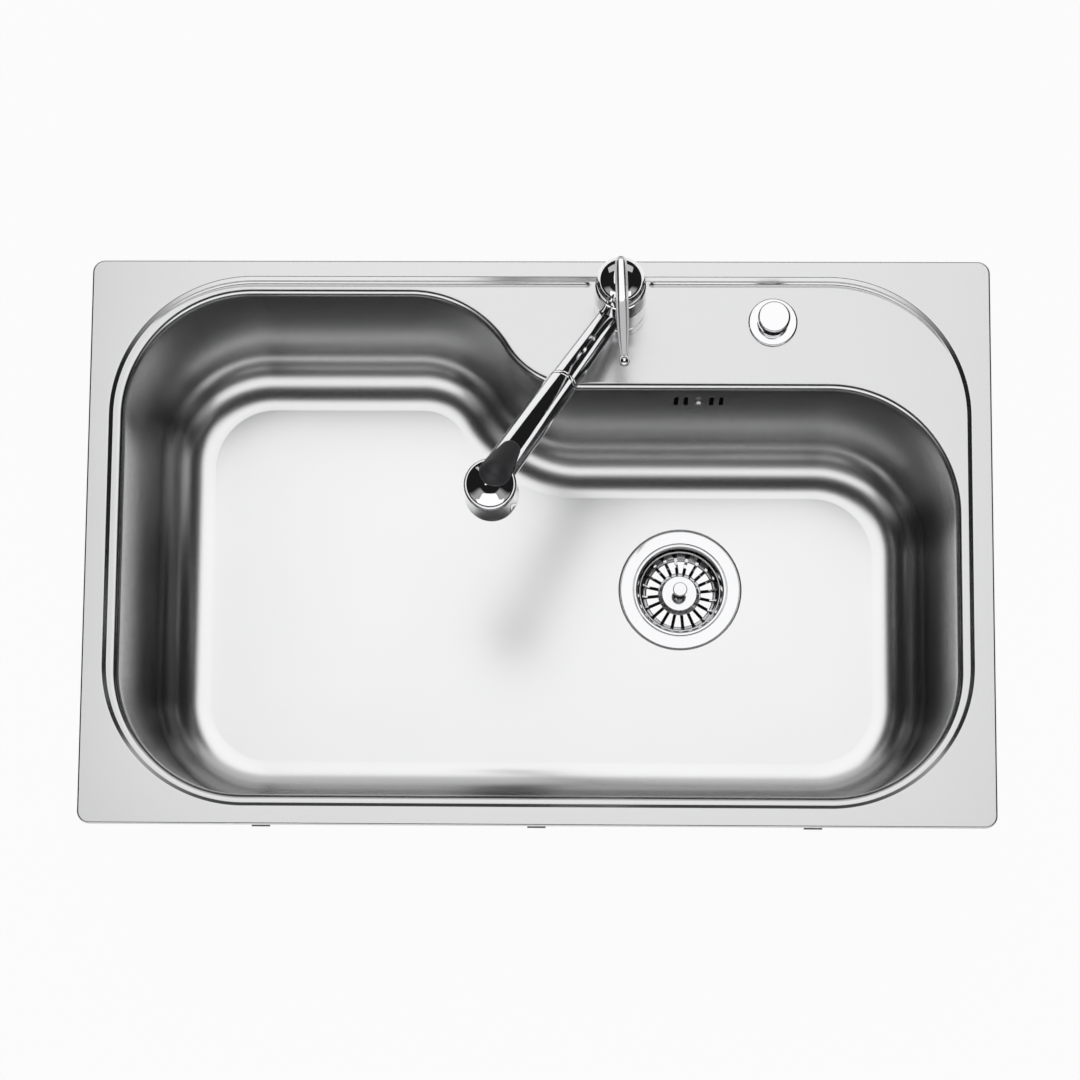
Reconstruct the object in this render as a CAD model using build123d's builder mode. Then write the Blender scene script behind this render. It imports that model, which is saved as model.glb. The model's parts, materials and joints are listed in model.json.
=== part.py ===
from build123d import *
import os
from math import acos, cos, degrees, radians, sin, tan

os.makedirs("parts", exist_ok=True)

# Frame: the origin is the centre of the worktop surface under the rim, +X to the right as
# seen by a person at the sink, +Y to the wall behind it, +Z up. Sizes are in millimetres
# and degrees.

# Rim, step, drain groove and tap deck
rim_length = 790.0
rim_width = 500.0
rim_corner_radius = 11.0
rim_height = 4.0
sheet = 0.8
edge_lift = 0.4
border_side = 17.5
border_front = 15.5
border_back = 14.0
step_drop = 2.5
step_run = 4.4
step_corner_radius = 125.0
groove_depth = 1.5
groove_width = 5.0
groove_left_radius = 131.0
groove_right_radius = 125.0
deck_hole_radius = 17.5

# Bowl
bowl_length = 727.2
bowl_front = 223.4
bowl_back = 220.0
alcove_back = 135.5
bowl_depth = 200.0
bowl_corner_radius = 110.0
bowl_draft = 3.0
lip_radius = 4.0
floor_radius = 35.0
bend_start = -114.0
bend_outer_radius = 97.0
bend_inner_radius = 78.3

# Worktop fixing
seal_inset = 3.0
seal_width = 8.0
worktop_thickness = 30.0
clip_tab_height = 21.0
clip_tab_thickness = 1.2
clip_width = 16.0
clip_reach = 9.0
clip_jaw_reach = 18.0
clip_jaw_thickness = 1.5
clip_screw_radius = 2.2
clip_screw_hole = 2.4
clip_screw_head = 4.2
clip_screw_head_height = 3.0
clip_front_places = (-240.0, 0.0, 240.0)
clip_back_places = (-250.0, -60.0, 150.0, 280.0)
clip_side_places = (-90.0, 60.0)

# Sound pad under the bowl floor
pad_length = 150.0
pad_width = 110.0
pad_thickness = 2.5
pad_x = -160.0
pad_y = -60.0
pad_corner_radius = 8.0

# Basket waste
drain_x = 130.2
drain_y = -5.5
flange_width = 16.0
flange_thickness = 1.2
flange_clearance = 0.8
recess_depth = 2.0
ring_line_inset = 3.9
ring_line_width = 0.6
ring_line_depth = 0.3
cup_radius = 40.0
cup_wall = 1.2
cup_edge_round = 2.0
cup_depth = 42.0
cup_ledge = 15.0
cup_hole_clearance = 2.3
gasket_thickness = 3.0
body_gap = 1.8
body_wall = 3.2
body_rim_height = 4.0
body_shoulder = 2.0
body_taper = 4.0
body_floor = 1.5
outlet_shoulder = 1.6
inlet_reach = 24.0
inlet_stop = 6.0
gland_boss_height = 4.0
gland_boss_recess = 2.0
sump_depth = 32.0
outlet_radius = 23.9
outlet_wall = 3.4
outlet_length = 26.0
waste_screw_inset = 5.5
waste_screw_radius = 2.15
waste_screw_head = 3.9
waste_screw_head_height = 2.6
waste_screw_length = 20.0
waste_screw_play = 0.4
cross_slot_width = 1.0
cross_slot_length = 5.0
cross_slot_depth = 1.2
waste_boss_radius = 5.0
waste_boss_gap = 0.3

# Strainer basket
basket_rim_drop = 7.0
basket_side_clearance = 1.4
basket_floor_drop = 22.2
basket_sheet = 0.8
basket_hub_radius = 19.4
basket_slots = 20
basket_slot_width = 2.4
basket_turn = 6.0
basket_knob_radius = 6.75
basket_knob_drop = -4.5
stem_radius = 5.0
stem_flange_radius = 9.0
stem_flange = 1.2
stem_collar = 1.0
seal_root = 2.4
seal_clearance = 0.3

# Lifting gear of the remote control
lift_pin_radius = 3.0
lift_bore_clearance = 0.05
guide_radius = 5.5
guide_drop = 20.0
guide_duct_bore = 1.5
guide_top_gap = 1.0
pin_foot_gap = 0.6
guide_collar = 2.4
guide_collar_length = 3.5
duct_beyond_boss = 12.0
guide_nut_height = 5.0

# Overflow
overflow_x = 141.0
overflow_drop = 38.6
overflow_slot_width = 4.0
overflow_slot_height = 23.0
overflow_slot_inner = 11.3
overflow_slot_outer = 20.0
overflow_screw_radius = 2.2
overflow_screw_length = 16.0
overflow_screw_play = 0.3
overflow_head_radius = 4.0
overflow_head_height = 3.6
overflow_head_round = 3.0
overflow_boss_wall = 2.4
overflow_plate_width = 62.0
overflow_plate_height = 36.0
overflow_gasket_thickness = 2.0
overflow_gasket_inset = 1.0
overflow_gasket_side = 5.0
overflow_gasket_end = 4.0
overflow_box_depth = 27.0
overflow_wall = 2.5
pipe_radius = 10.0
pipe_wall = 1.4
pipe_bend_radius = 40.0
pipe_fit = 0.05
pipe_insert = 12.0
spigot_length = 18.0
inlet_drop = 14.0
spigot_wall = 2.5
pipe_nut_wall = 3.5
pipe_nut_length = 10.0
pipe_nut_cap = 3.0

# Remote control on the deck
control_x = 204.6
control_y = 195.0
rosette_radius = 21.5
rosette_height = 3.2
knob_radius = 14.0
knob_height = 19.4
spindle_radius = 6.0
running_fit = 0.05
thread_fit = 0.05
press_fit = 0.02
rest_gap = 0.2
control_depth = 46.0
control_body_radius = 20.0
control_body_wall = 3.0
knob_bore_depth = 5.0
neck_clearance = 0.7
gland_drop = 25.0
gland_insert = 4.0

# Tap
tap_x = 70.3
tap_y = 207.0
tap_pad_radius = 33.0
base_radius = 22.8
base_height = 9.0
journal_radius = 15.5
journal_top = 23.0
base_edge_round = 0.6
base_seal_outset = 1.3
base_seal_width = 2.5
body_gap_above_base = 0.9
circlip_groove = 0.8
circlip_stand = 1.7
circlip_thickness = 1.1
circlip_play = 0.35
shank_clearance = 1.0
shank_wall = 3.9
shank_length = 48.0
clamp_radius = 25.5
tap_gasket_thickness = 3.0
tap_washer_thickness = 2.0
tap_nut_height = 10.0
clamp_bore_gap = 0.2
barrel_radius = 22.9
barrel_top = 69.3
barrel_belly = 44.0
barrel_shoulder = 54.0
barrel_shoulder_inset = 0.5
barrel_edge_inset = 1.3
barrel_edge_drop = 0.7
shelf_height = 20.0
barrel_wall = 5.5
partition = 4.0
cartridge_length = 16.0
cartridge_collar = 5.8
tilt_rise = 5.7
cap_setback = 2.2
cap_wall = 1.8
cap_wall_rise = 17.7
cap_edge_radius = 6.0
cap_edge_turn = 80.0
carrier_rise = 1.3
port_circle = 8.4
port_radius = 2.8
port_angles = (30, 90, 150)
tail_bore = 2.2
tail_radius = 3.2
tail_thread_radius = 3.8
tail_thread_top = -6.0
tail_foot = -20.0
disc_seat = 3.0
fixed_disc_thickness = 3.6
moving_disc_thickness = 3.8
fixed_disc_radius = 14.4
moving_disc_radius = 11.5
disc_film = 0.1

# Spout, in the vertical plane turned left of straight ahead
spout_turn = 28.0
spout_rise = 36.0
spout_root = 18.5
spout_reach = 225.0
sleeve_length = 129.6
hose_passage = 8.6
sleeve_wall = 1.6
sleeve_tip_wall = 3.7
sleeve_tip_lip = 1.7
bush_length = 10.0
sleeve_tip_round = 0.5
hose_passage_start = 12.0

# Pull-out handset
handset_seam = 0.4
handset_rear_radius = 12.9
handset_front_radius = 13.7
joint_setback = 9.0
shell_wall = 4.4
bell_height = 53.5
bell_foot_radius = 22.3
bell_waist_radius = 19.4
bell_rise = 15.07
bell_rim_height = 3.0
bell_flare_height = 16.0
button_depth = 3.0
button_under = 1.6
button_proud = 0.8
button_front_radius = 13.0
button_rear_radius = 8.0
button_front_place = 9.4
button_rear_place = 33.4
button_gap = 0.25
hose_clearance = 1.8
hose_start = 17.5
hose_bore = 4.5
collar_bore = 5.5
collar_insert = 12.0
collar_reach = 8.0
nozzle_ring_width = 2.4
nozzle_ring_proud = 0.6
spray_face_thickness = 3.5
spray_rings = ((9.4, 12), (12.8, 18))
spray_tip_radius = 0.9
spray_tip_height = 0.5
spray_hole_radius = 0.45
aerator_radius = 7.0
aerator_length = 8.0
aerator_wall = 1.2
aerator_recess = 1.0

# Lever
lever_turn = 1.8
lever_back = 14.5
lever_arc_radius = 295.0
lever_start_rise = 4.0
lever_end_rise = 23.6
lever_seat = 2.82
lever_half_width = 4.9
lever_thickness = 6.4
lever_tip_thickness = 3.4
lever_cap_gap = 0.8
lever_sag = 3.1
lever_tip_half_width = 3.2
lever_rear_half_width = 4.6
lever_widest = 20.0
lever_rear_ease = 1.4
lever_tilt = 22.0
stem_width = 7.0
stem_foot_depth = 3.5
stem_foot_height = 4.0
stem_foot_width = 8.0
stem_ball_radius = 3.0
stem_ball_drop = 8.0
slot_clearance = 0.8
ball_radius = 4.35

# Levels and places worked out from the values above
deck_top = rim_height - step_drop
deck_under = deck_top - sheet
floor_top = rim_height - bowl_depth
floor_under = floor_top - sheet
draft = radians(bowl_draft)
cup_outer = cup_radius + cup_wall
cup_opening = cup_radius - cup_ledge
flange_radius = cup_radius + flange_width
ring_line_radius = cup_radius + ring_line_inset
waste_screw_circle = cup_radius - waste_screw_inset
body_depth = cup_depth + sump_depth
guide_depth = cup_depth + guide_drop
drain_hole_radius = cup_outer + cup_hole_clearance
body_inner = cup_outer + body_gap
body_outer = body_inner + body_wall
recess_under = recess_depth + sheet
body_top = recess_under + gasket_thickness
shank_radius = deck_hole_radius - shank_clearance
shank_bore = shank_radius - shank_wall
cap_radius = barrel_radius - cap_setback
cartridge_radius = barrel_radius - barrel_wall
cartridge_shoulder = barrel_top - cartridge_collar
partition_top = cartridge_shoulder - cartridge_length
partition_bottom = partition_top - partition
carrier_height = barrel_top + carrier_rise
tilt_height = barrel_top + tilt_rise
cap_wall_top = barrel_top + cap_wall_rise
cap_reach = Vector(cap_radius - cap_edge_radius, cap_wall_top - tilt_height).length + cap_edge_radius
lever_root_height = tilt_height + cap_reach + lever_cap_gap + lever_seat
sleeve_root_radius = hose_passage + sleeve_wall
sleeve_tip_radius = hose_passage + sleeve_tip_wall
hose_radius = hose_passage - hose_clearance
handset_joint = spout_reach - joint_setback
joint_height = deck_top + spout_root + handset_joint * tan(radians(spout_rise))
bell_top = joint_height + bell_rise
outlet_height = bell_top - bell_height
up = Vector(0, 0, 1)


def section_plane(origin, axis, radial):
    """Plane whose local x runs out from an axis and whose local y runs along it."""
    return Plane(origin=origin, x_dir=radial, z_dir=Vector(*radial).cross(Vector(*axis)))


def turned(section, points, mode=Mode.ADD):
    """Turn a closed outline of (radius, height) points about the section's own y axis."""
    with BuildSketch(section) as outline:
        with BuildLine():
            Polyline(*points, close=True)
        make_face()
    revolve(outline.sketch, axis=Axis(section.origin, section.y_dir), mode=mode)


def sleeve(section, outer, inner, low, high, mode=Mode.ADD):
    """A plain ring between two radii and two heights along the section's axis."""
    turned(section, [(inner, low), (outer, low), (outer, high), (inner, high)], mode)


def disc(section, radius, low, high, mode=Mode.ADD):
    """A plain round slab about the section's axis."""
    sleeve(section, radius, 0, low, high, mode)


def bowl_sketch(plane, grow):
    """Outline of the bowl's mouth, with the S-bend round the tap deck, moved out by grow."""
    left = -bowl_length / 2 - grow
    right = bowl_length / 2 + grow
    front = -bowl_front - grow
    corner = bowl_corner_radius + grow
    both_radii = bend_outer_radius + bend_inner_radius
    turn = degrees(acos(1 - (bowl_back - alcove_back) / both_radii))
    with BuildSketch(plane) as outline:
        with BuildLine():
            back_edge = Line((left + corner, bowl_back + grow), (bend_start, bowl_back + grow))
            bend_out = JernArc(back_edge @ 1, back_edge % 1, bend_outer_radius + grow, -turn)
            bend_in = JernArc(bend_out @ 1, bend_out % 1, bend_inner_radius - grow, turn)
            alcove_edge = Line(bend_in @ 1, (right - corner, alcove_back + grow))
            corner_back = JernArc(alcove_edge @ 1, (1, 0), corner, -90)
            right_edge = Line(corner_back @ 1, (right, front + corner))
            corner_front = JernArc(right_edge @ 1, (0, -1), corner, -90)
            front_edge = Line(corner_front @ 1, (left + corner, front))
            corner_left = JernArc(front_edge @ 1, (-1, 0), corner, -90)
            left_edge = Line(corner_left @ 1, (left, bowl_back + grow - corner))
            JernArc(left_edge @ 1, (0, 1), corner, -90)
        make_face()
    return outline.sketch


def pan_sketch(plane, inset):
    """Outline of the step inside the border, moved in by inset."""
    length = rim_length - 2 * (border_side + inset)
    width = rim_width - border_front - border_back - 2 * inset
    with BuildSketch(plane) as outline:
        with Locations((0, (border_front - border_back) / 2)):
            RectangleRounded(length, width, step_corner_radius - inset)
    return outline.sketch


def groove_sketch(plane, grow):
    """The drain groove behind the deck, fading out round both corners and at the tap pad."""
    front_y = rim_width / 2 - border_back - step_run - groove_width - grow
    bend_x = rim_length / 2 - border_side - step_corner_radius
    with BuildSketch(plane) as strip:
        add(pan_sketch(Plane.XY, step_run - grow))
        with BuildSketch(mode=Mode.SUBTRACT):
            with BuildLine():
                edge = Line((-bend_x, front_y), (bend_x, front_y))
                right_bend = JernArc(edge @ 1, (1, 0), groove_right_radius, -90)
                left_bend = JernArc(edge @ 0, (-1, 0), groove_left_radius, 90)
                right_side = Line(right_bend @ 1, ((right_bend @ 1).X, -rim_width))
                left_side = Line(left_bend @ 1, ((left_bend @ 1).X, -rim_width))
                Line(right_side @ 1, left_side @ 1)
            make_face()
        with Locations((tap_x, tap_y)):
            Circle(tap_pad_radius - grow, mode=Mode.SUBTRACT)
    return strip.sketch


def widest_opening(part, height):
    """Edges round the largest opening in the part's level face at a height."""
    level = [face for face in part.faces().filter_by(Plane.XY) if abs(face.center().Z - height) < 0.01]
    face = max(level, key=lambda item: item.area)
    return max(face.inner_wires(), key=lambda wire: wire.length).edges()


# Overflow plane on the leaning back wall: local z out of the bowl, local y down the wall
overflow_level = rim_height - overflow_drop
overflow_wall_y = alcove_back - (deck_top - overflow_level) * tan(draft)
overflow_plane = Plane(
    origin=(overflow_x, overflow_wall_y, overflow_level),
    x_dir=(1, 0, 0),
    z_dir=(0, cos(draft), -sin(draft)),
)
overflow_slot_places = [
    (-overflow_slot_outer, 0),
    (-overflow_slot_inner, 0),
    (overflow_slot_inner, 0),
    (overflow_slot_outer, 0),
]

# The sheet is what lies between an outer and an inner form of the bowl
with BuildPart() as bowl_outside:
    extrude(
        bowl_sketch(Plane.XY.offset(deck_top), sheet),
        amount=floor_under - deck_top,
        taper=bowl_draft,
    )
    fillet(bowl_outside.faces().sort_by(Axis.Z)[0].edges(), radius=floor_radius + sheet)

with BuildPart() as bowl_inside:
    extrude(bowl_sketch(Plane.XY.offset(deck_top), 0), amount=floor_top - deck_top, taper=bowl_draft)
    fillet(bowl_inside.faces().sort_by(Axis.Z)[0].edges(), radius=floor_radius)

with BuildPart() as sink_bowl:
    with BuildSketch(Plane.XY.offset(rim_height - sheet)):
        RectangleRounded(rim_length, rim_width, rim_corner_radius)
    extrude(amount=sheet)
    with BuildSketch(Plane.XY.offset(edge_lift)):
        RectangleRounded(rim_length, rim_width, rim_corner_radius)
        RectangleRounded(
            rim_length - 2 * sheet, rim_width - 2 * sheet, rim_corner_radius - sheet, mode=Mode.SUBTRACT
        )
    extrude(amount=rim_height - sheet - edge_lift)
    under_shift = sheet / 4
    loft(
        [
            pan_sketch(Plane.XY.offset(rim_height - sheet), -under_shift),
            pan_sketch(Plane.XY.offset(deck_under), step_run - under_shift),
        ],
        ruled=True,
    )
    add(bowl_outside.part)
    extrude(groove_sketch(Plane.XY.offset(deck_under), sheet), amount=-groove_depth)
    add(bowl_inside.part, mode=Mode.SUBTRACT)
    loft(
        [pan_sketch(Plane.XY.offset(rim_height), 0), pan_sketch(Plane.XY.offset(deck_top), step_run)],
        ruled=True,
        mode=Mode.SUBTRACT,
    )
    extrude(groove_sketch(Plane.XY.offset(deck_top), 0), amount=-groove_depth, mode=Mode.SUBTRACT)
    # Holes for the tap and the remote control
    with BuildSketch(Plane.XY.offset(deck_top)):
        with Locations((tap_x, tap_y), (control_x, control_y)):
            Circle(deck_hole_radius)
    extrude(amount=-sheet, mode=Mode.SUBTRACT)
    # Pressed seat and hole for the waste
    with BuildSketch(Plane.XY.offset(floor_under)):
        with Locations((drain_x, drain_y)):
            Circle(flange_radius + flange_clearance + sheet)
    extrude(amount=-recess_depth)
    with BuildSketch(Plane.XY.offset(floor_top)):
        with Locations((drain_x, drain_y)):
            Circle(flange_radius + flange_clearance)
    extrude(amount=-recess_depth, mode=Mode.SUBTRACT)
    with BuildSketch(Plane.XY.offset(floor_top)):
        with Locations((drain_x, drain_y)):
            Circle(drain_hole_radius)
    extrude(amount=-recess_under, mode=Mode.SUBTRACT)
    # Overflow slots and the hole for their screw
    with BuildSketch(overflow_plane.offset(-sheet)):
        with Locations(*overflow_slot_places):
            RectangleRounded(overflow_slot_width, overflow_slot_height, overflow_slot_width / 2 - running_fit)
        Circle(overflow_screw_radius + overflow_screw_play)
    extrude(amount=3 * sheet, mode=Mode.SUBTRACT)
    fillet(widest_opening(sink_bowl, deck_under), radius=lip_radius - sheet)
    fillet(widest_opening(sink_bowl, deck_top), radius=lip_radius)
sink_bowl.part.label = "sink_bowl"
export_step(sink_bowl.part, "parts/sink_bowl.step")

# Foam seal under the border
with BuildPart() as rim_seal:
    with BuildSketch():
        RectangleRounded(
            rim_length - 2 * seal_inset, rim_width - 2 * seal_inset, rim_corner_radius - seal_inset
        )
        seal_inner = seal_inset + seal_width
        Rectangle(rim_length - 2 * seal_inner, rim_width - 2 * seal_inner, mode=Mode.SUBTRACT)
    extrude(amount=rim_height - sheet)
rim_seal.part.label = "rim_seal"
export_step(rim_seal.part, "parts/rim_seal.step")

# Worktop clamps: local x points outwards, local z up, origin under the ledge
ledge_front = (bowl_front + lip_radius + rim_width / 2 - border_front - step_run) / 2
ledge_side = (bowl_length / 2 + lip_radius + rim_length / 2 - border_side - step_run) / 2
ledge_back = rim_width / 2 - border_back - step_run - groove_width / 2
groove_under = deck_under - groove_depth
clip_frames = (
    [Plane(origin=(x, -ledge_front, deck_under), x_dir=(0, -1, 0)) for x in clip_front_places]
    + [Plane(origin=(x, ledge_back, groove_under), x_dir=(0, 1, 0)) for x in clip_back_places]
    + [Plane(origin=(ledge_side, y, deck_under), x_dir=(1, 0, 0)) for y in clip_side_places]
    + [Plane(origin=(-ledge_side, y, deck_under), x_dir=(-1, 0, 0)) for y in clip_side_places]
)
clip_axis = clip_reach / 2 + clip_tab_thickness / 2
jaw_level = -worktop_thickness - deck_under - 2 * clip_jaw_thickness

with BuildPart() as clip_brackets:
    with Locations(*clip_frames):
        Box(clip_tab_thickness, clip_width, clip_tab_height, align=(Align.CENTER, Align.CENTER, Align.MAX))
        with Locations((0, 0, -clip_tab_height)):
            Box(clip_reach, clip_width, 2 * clip_tab_thickness, align=(Align.MIN, Align.CENTER, Align.MIN))
        with Locations((clip_axis, 0, -clip_tab_height)):
            Cylinder(
                clip_screw_hole,
                2 * clip_tab_thickness,
                align=(Align.CENTER, Align.CENTER, Align.MIN),
                mode=Mode.SUBTRACT,
            )
clip_brackets.part.label = "clip_brackets"
export_step(clip_brackets.part, "parts/clip_brackets.step")

with BuildPart() as clip_jaws:
    with Locations(*clip_frames):
        with Locations((0, 0, jaw_level)):
            Box(
                clip_jaw_reach, clip_width, clip_jaw_thickness, align=(Align.MIN, Align.CENTER, Align.MIN)
            )
        with Locations((clip_jaw_reach, 0, jaw_level)):
            Box(
                clip_jaw_thickness,
                clip_width,
                2 * clip_jaw_thickness,
                align=(Align.MIN, Align.CENTER, Align.MIN),
            )
        with Locations((clip_axis, 0, jaw_level)):
            Cylinder(
                clip_screw_hole,
                clip_jaw_thickness,
                align=(Align.CENTER, Align.CENTER, Align.MIN),
                mode=Mode.SUBTRACT,
            )
clip_jaws.part.label = "clip_jaws"
export_step(clip_jaws.part, "parts/clip_jaws.step")

with BuildPart() as clip_screws:
    with Locations(*clip_frames):
        with Locations((clip_axis, 0, jaw_level)):
            Cylinder(
                clip_screw_radius,
                -jaw_level - clip_tab_height + 3 * clip_tab_thickness,
                align=(Align.CENTER, Align.CENTER, Align.MIN),
            )
            Cylinder(clip_screw_head, clip_screw_head_height, align=(Align.CENTER, Align.CENTER, Align.MAX))
clip_screws.part.label = "clip_screws"
export_step(clip_screws.part, "parts/clip_screws.step")

with BuildPart() as sound_pad:
    with BuildSketch(Plane.XY.offset(floor_under)):
        with Locations((pad_x, pad_y)):
            RectangleRounded(pad_length, pad_width, pad_corner_radius)
    extrude(amount=-pad_thickness)
sound_pad.part.label = "sound_pad"
export_step(sound_pad.part, "parts/sound_pad.step")

# Basket waste: heights run down from the bowl floor
waste = section_plane((drain_x, drain_y, floor_top), (0, 0, 1), (1, 0, 0))
screw_places = PolarLocations(waste_screw_circle, 3, start_angle=90)

with BuildPart() as waste_cup:
    turned(
        waste,
        [
            (cup_radius + cup_edge_round, 0),
            (flange_radius, 0),
            (flange_radius, -flange_thickness),
            (cup_outer + cup_edge_round, -flange_thickness),
            (cup_outer, -flange_thickness - cup_edge_round),
            (cup_outer, -cup_depth - cup_wall),
            (cup_opening, -cup_depth - cup_wall),
            (cup_opening, -cup_depth),
            (cup_radius, -cup_depth),
            (cup_radius, -cup_edge_round),
        ],
    )
    ring_line_inner = ring_line_radius - ring_line_width / 2
    ring_line_outer = ring_line_radius + ring_line_width / 2
    sleeve(waste, ring_line_outer, ring_line_inner, -ring_line_depth, 0, Mode.SUBTRACT)
    with BuildSketch(Plane((drain_x, drain_y, floor_top - cup_depth))):
        with screw_places:
            Circle(waste_screw_radius + waste_screw_play)
    extrude(amount=-cup_wall, mode=Mode.SUBTRACT)
waste_cup.part.label = "waste_cup"
export_step(waste_cup.part, "parts/waste_cup.step")

with BuildPart() as flange_gasket:
    sleeve(waste, flange_radius - 0.5, drain_hole_radius + 2, -recess_depth, -flange_thickness)
flange_gasket.part.label = "flange_gasket"
export_step(flange_gasket.part, "parts/flange_gasket.step")

with BuildPart() as floor_gasket:
    sleeve(waste, flange_radius - 1, drain_hole_radius + 0.5, -body_top, -recess_under)
floor_gasket.part.label = "floor_gasket"
export_step(floor_gasket.part, "parts/floor_gasket.step")

# Plastic body with the outlet thread, the overflow inlet and the seat of the lifting gear
inlet_end = drain_y + body_outer + inlet_reach
inlet_level = floor_top - cup_depth - inlet_drop
spigot_radius = pipe_radius + spigot_wall
boss_face = body_outer + gland_boss_height
boss_inner = body_inner - gland_boss_recess
boss_radius = guide_radius * 2
outlet_bore = outlet_radius - outlet_wall
outlet_end = body_depth + body_taper + outlet_length
boss_top = cup_depth + cup_wall + waste_boss_gap
waste_screw_bore = waste_screw_length + 2
inlet_plane = Plane(origin=(overflow_x, inlet_end, inlet_level), x_dir=(1, 0, 0), z_dir=(0, -1, 0))
duct = Plane(origin=(drain_x, drain_y, floor_top - guide_depth), x_dir=(0, 1, 0), z_dir=(1, 0, 0))

with BuildPart() as waste_body:
    turned(
        waste,
        [
            (0, -body_top),
            (flange_radius, -body_top),
            (flange_radius, -body_top - body_rim_height),
            (body_outer, -body_top - body_rim_height - body_shoulder),
            (body_outer, -body_depth),
            (outlet_radius + outlet_shoulder, -body_depth - body_taper),
            (outlet_radius, -body_depth - body_taper),
            (outlet_radius, -outlet_end),
            (0, -outlet_end),
        ],
    )
    # Overflow inlet, on the pipe's own line
    with BuildSketch(inlet_plane):
        Circle(spigot_radius)
    extrude(amount=inlet_end - drain_y - body_inner / 2)
    # Flat boss for the lifting gear's gland
    with BuildSketch(duct):
        Circle(boss_radius)
    extrude(amount=boss_face)
    turned(
        waste,
        [
            (0, -body_top),
            (body_inner, -body_top),
            (body_inner, -body_depth + body_taper),
            (outlet_bore, -body_depth),
            (outlet_bore, -outlet_end),
            (0, -outlet_end),
        ],
        Mode.SUBTRACT,
    )
    with BuildSketch(Plane((drain_x, drain_y, floor_top - boss_top))):
        with screw_places:
            Circle(waste_boss_radius)
    extrude(amount=boss_top - body_depth + body_floor)
    # Inner face of the gland boss
    with BuildSketch(duct.offset(boss_inner)):
        Circle(boss_radius)
    extrude(amount=boss_face - boss_inner)
    with BuildSketch(duct.offset(boss_inner)):
        Circle(guide_radius + 2 * running_fit)
    extrude(amount=boss_face - boss_inner, mode=Mode.SUBTRACT)
    with BuildSketch(Plane((drain_x, drain_y, floor_top - boss_top))):
        with screw_places:
            Circle(waste_screw_radius + running_fit)
    extrude(amount=-waste_screw_bore, mode=Mode.SUBTRACT)
    with BuildSketch(inlet_plane):
        Circle(pipe_radius + pipe_fit)
    extrude(amount=inlet_end - drain_y - body_inner / 2 - inlet_stop, mode=Mode.SUBTRACT)
waste_body.part.label = "waste_body"
export_step(waste_body.part, "parts/waste_body.step")

with BuildPart() as waste_screws:
    with BuildSketch(Plane((drain_x, drain_y, floor_top - cup_depth))):
        with screw_places:
            Circle(waste_screw_head)
    extrude(amount=waste_screw_head_height)
    with BuildSketch(Plane((drain_x, drain_y, floor_top - cup_depth))):
        with screw_places:
            Circle(waste_screw_radius)
    extrude(amount=-waste_screw_length)
    with BuildSketch(Plane((drain_x, drain_y, floor_top - cup_depth + waste_screw_head_height))):
        with screw_places:
            Rectangle(cross_slot_width, cross_slot_length)
            Rectangle(cross_slot_length, cross_slot_width)
    extrude(amount=-cross_slot_depth, mode=Mode.SUBTRACT)
waste_screws.part.label = "waste_screws"
export_step(waste_screws.part, "parts/waste_screws.step")

# Strainer basket: a pressed cup with slots in its floor that run up its wall
basket_rim_radius = cup_radius - basket_side_clearance
basket_wall_top = basket_rim_radius - 2.2
basket_wall_foot = basket_rim_radius - 5.4
basket_floor_edge = basket_wall_foot - 1.6
basket_floor_top = -basket_floor_drop + basket_sheet
hub_top = basket_floor_top + 1.8
with BuildPart() as basket:
    turned(
        waste,
        [
            (basket_rim_radius, -basket_rim_drop),
            (basket_rim_radius, -basket_rim_drop - basket_sheet),
            (basket_wall_top, -basket_rim_drop - basket_sheet),
            (basket_wall_foot, -basket_floor_drop + 2.2),
            (basket_floor_edge, -basket_floor_drop),
            (basket_hub_radius + 0.6, -basket_floor_drop),
            (basket_hub_radius - 2.4, hub_top - basket_sheet),
            (0, hub_top - basket_sheet),
            (0, hub_top),
            (basket_hub_radius - 2.0, hub_top),
            (basket_hub_radius + 1.0, basket_floor_top),
            (basket_floor_edge - 0.3, basket_floor_top),
            (basket_wall_foot - 0.7, basket_floor_top + 1.6),
            (basket_wall_top - 0.7, -basket_rim_drop),
        ],
    )
    slot_start = basket_hub_radius + 2.2
    slot_end = basket_rim_radius - 1.0
    with BuildSketch(Plane((drain_x, drain_y, floor_top - basket_floor_drop - 1))):
        with PolarLocations((slot_start + slot_end) / 2, basket_slots, start_angle=basket_turn):
            Rectangle(slot_end - slot_start, basket_slot_width)
    extrude(amount=basket_floor_drop / 2 - 2, mode=Mode.SUBTRACT)
basket.part.label = "basket"
export_step(basket.part, "parts/basket.step")

with BuildPart() as basket_knob:
    turned(
        waste,
        [
            (0, hub_top),
            (5.4, hub_top),
            (4.6, hub_top + 5),
            (basket_knob_radius, -basket_knob_drop - 4),
            (basket_knob_radius, -basket_knob_drop - 0.7),
            (basket_knob_radius - 0.7, -basket_knob_drop),
            (0, -basket_knob_drop),
        ],
    )
basket_knob.part.label = "basket_knob"
export_step(basket_knob.part, "parts/basket_knob.step")

seal_radius = cup_opening + 4.5
seal_bottom = -cup_depth + seal_clearance
seal_back = seal_bottom + 1.2
stem_end = -cup_depth - 4
with BuildPart() as basket_stem:
    turned(
        waste,
        [
            (0, hub_top - basket_sheet),
            (stem_flange_radius, hub_top - basket_sheet),
            (stem_flange_radius, hub_top - basket_sheet - stem_flange),
            (stem_radius, hub_top - basket_sheet - stem_flange),
            (stem_radius, seal_back + seal_root + stem_collar),
            (stem_flange_radius, seal_back + seal_root + stem_collar),
            (stem_flange_radius, seal_back + seal_root),
            (stem_radius, seal_back + seal_root),
            (stem_radius, stem_end),
            (0, stem_end),
        ],
    )
basket_stem.part.label = "basket_stem"
export_step(basket_stem.part, "parts/basket_stem.step")

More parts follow.
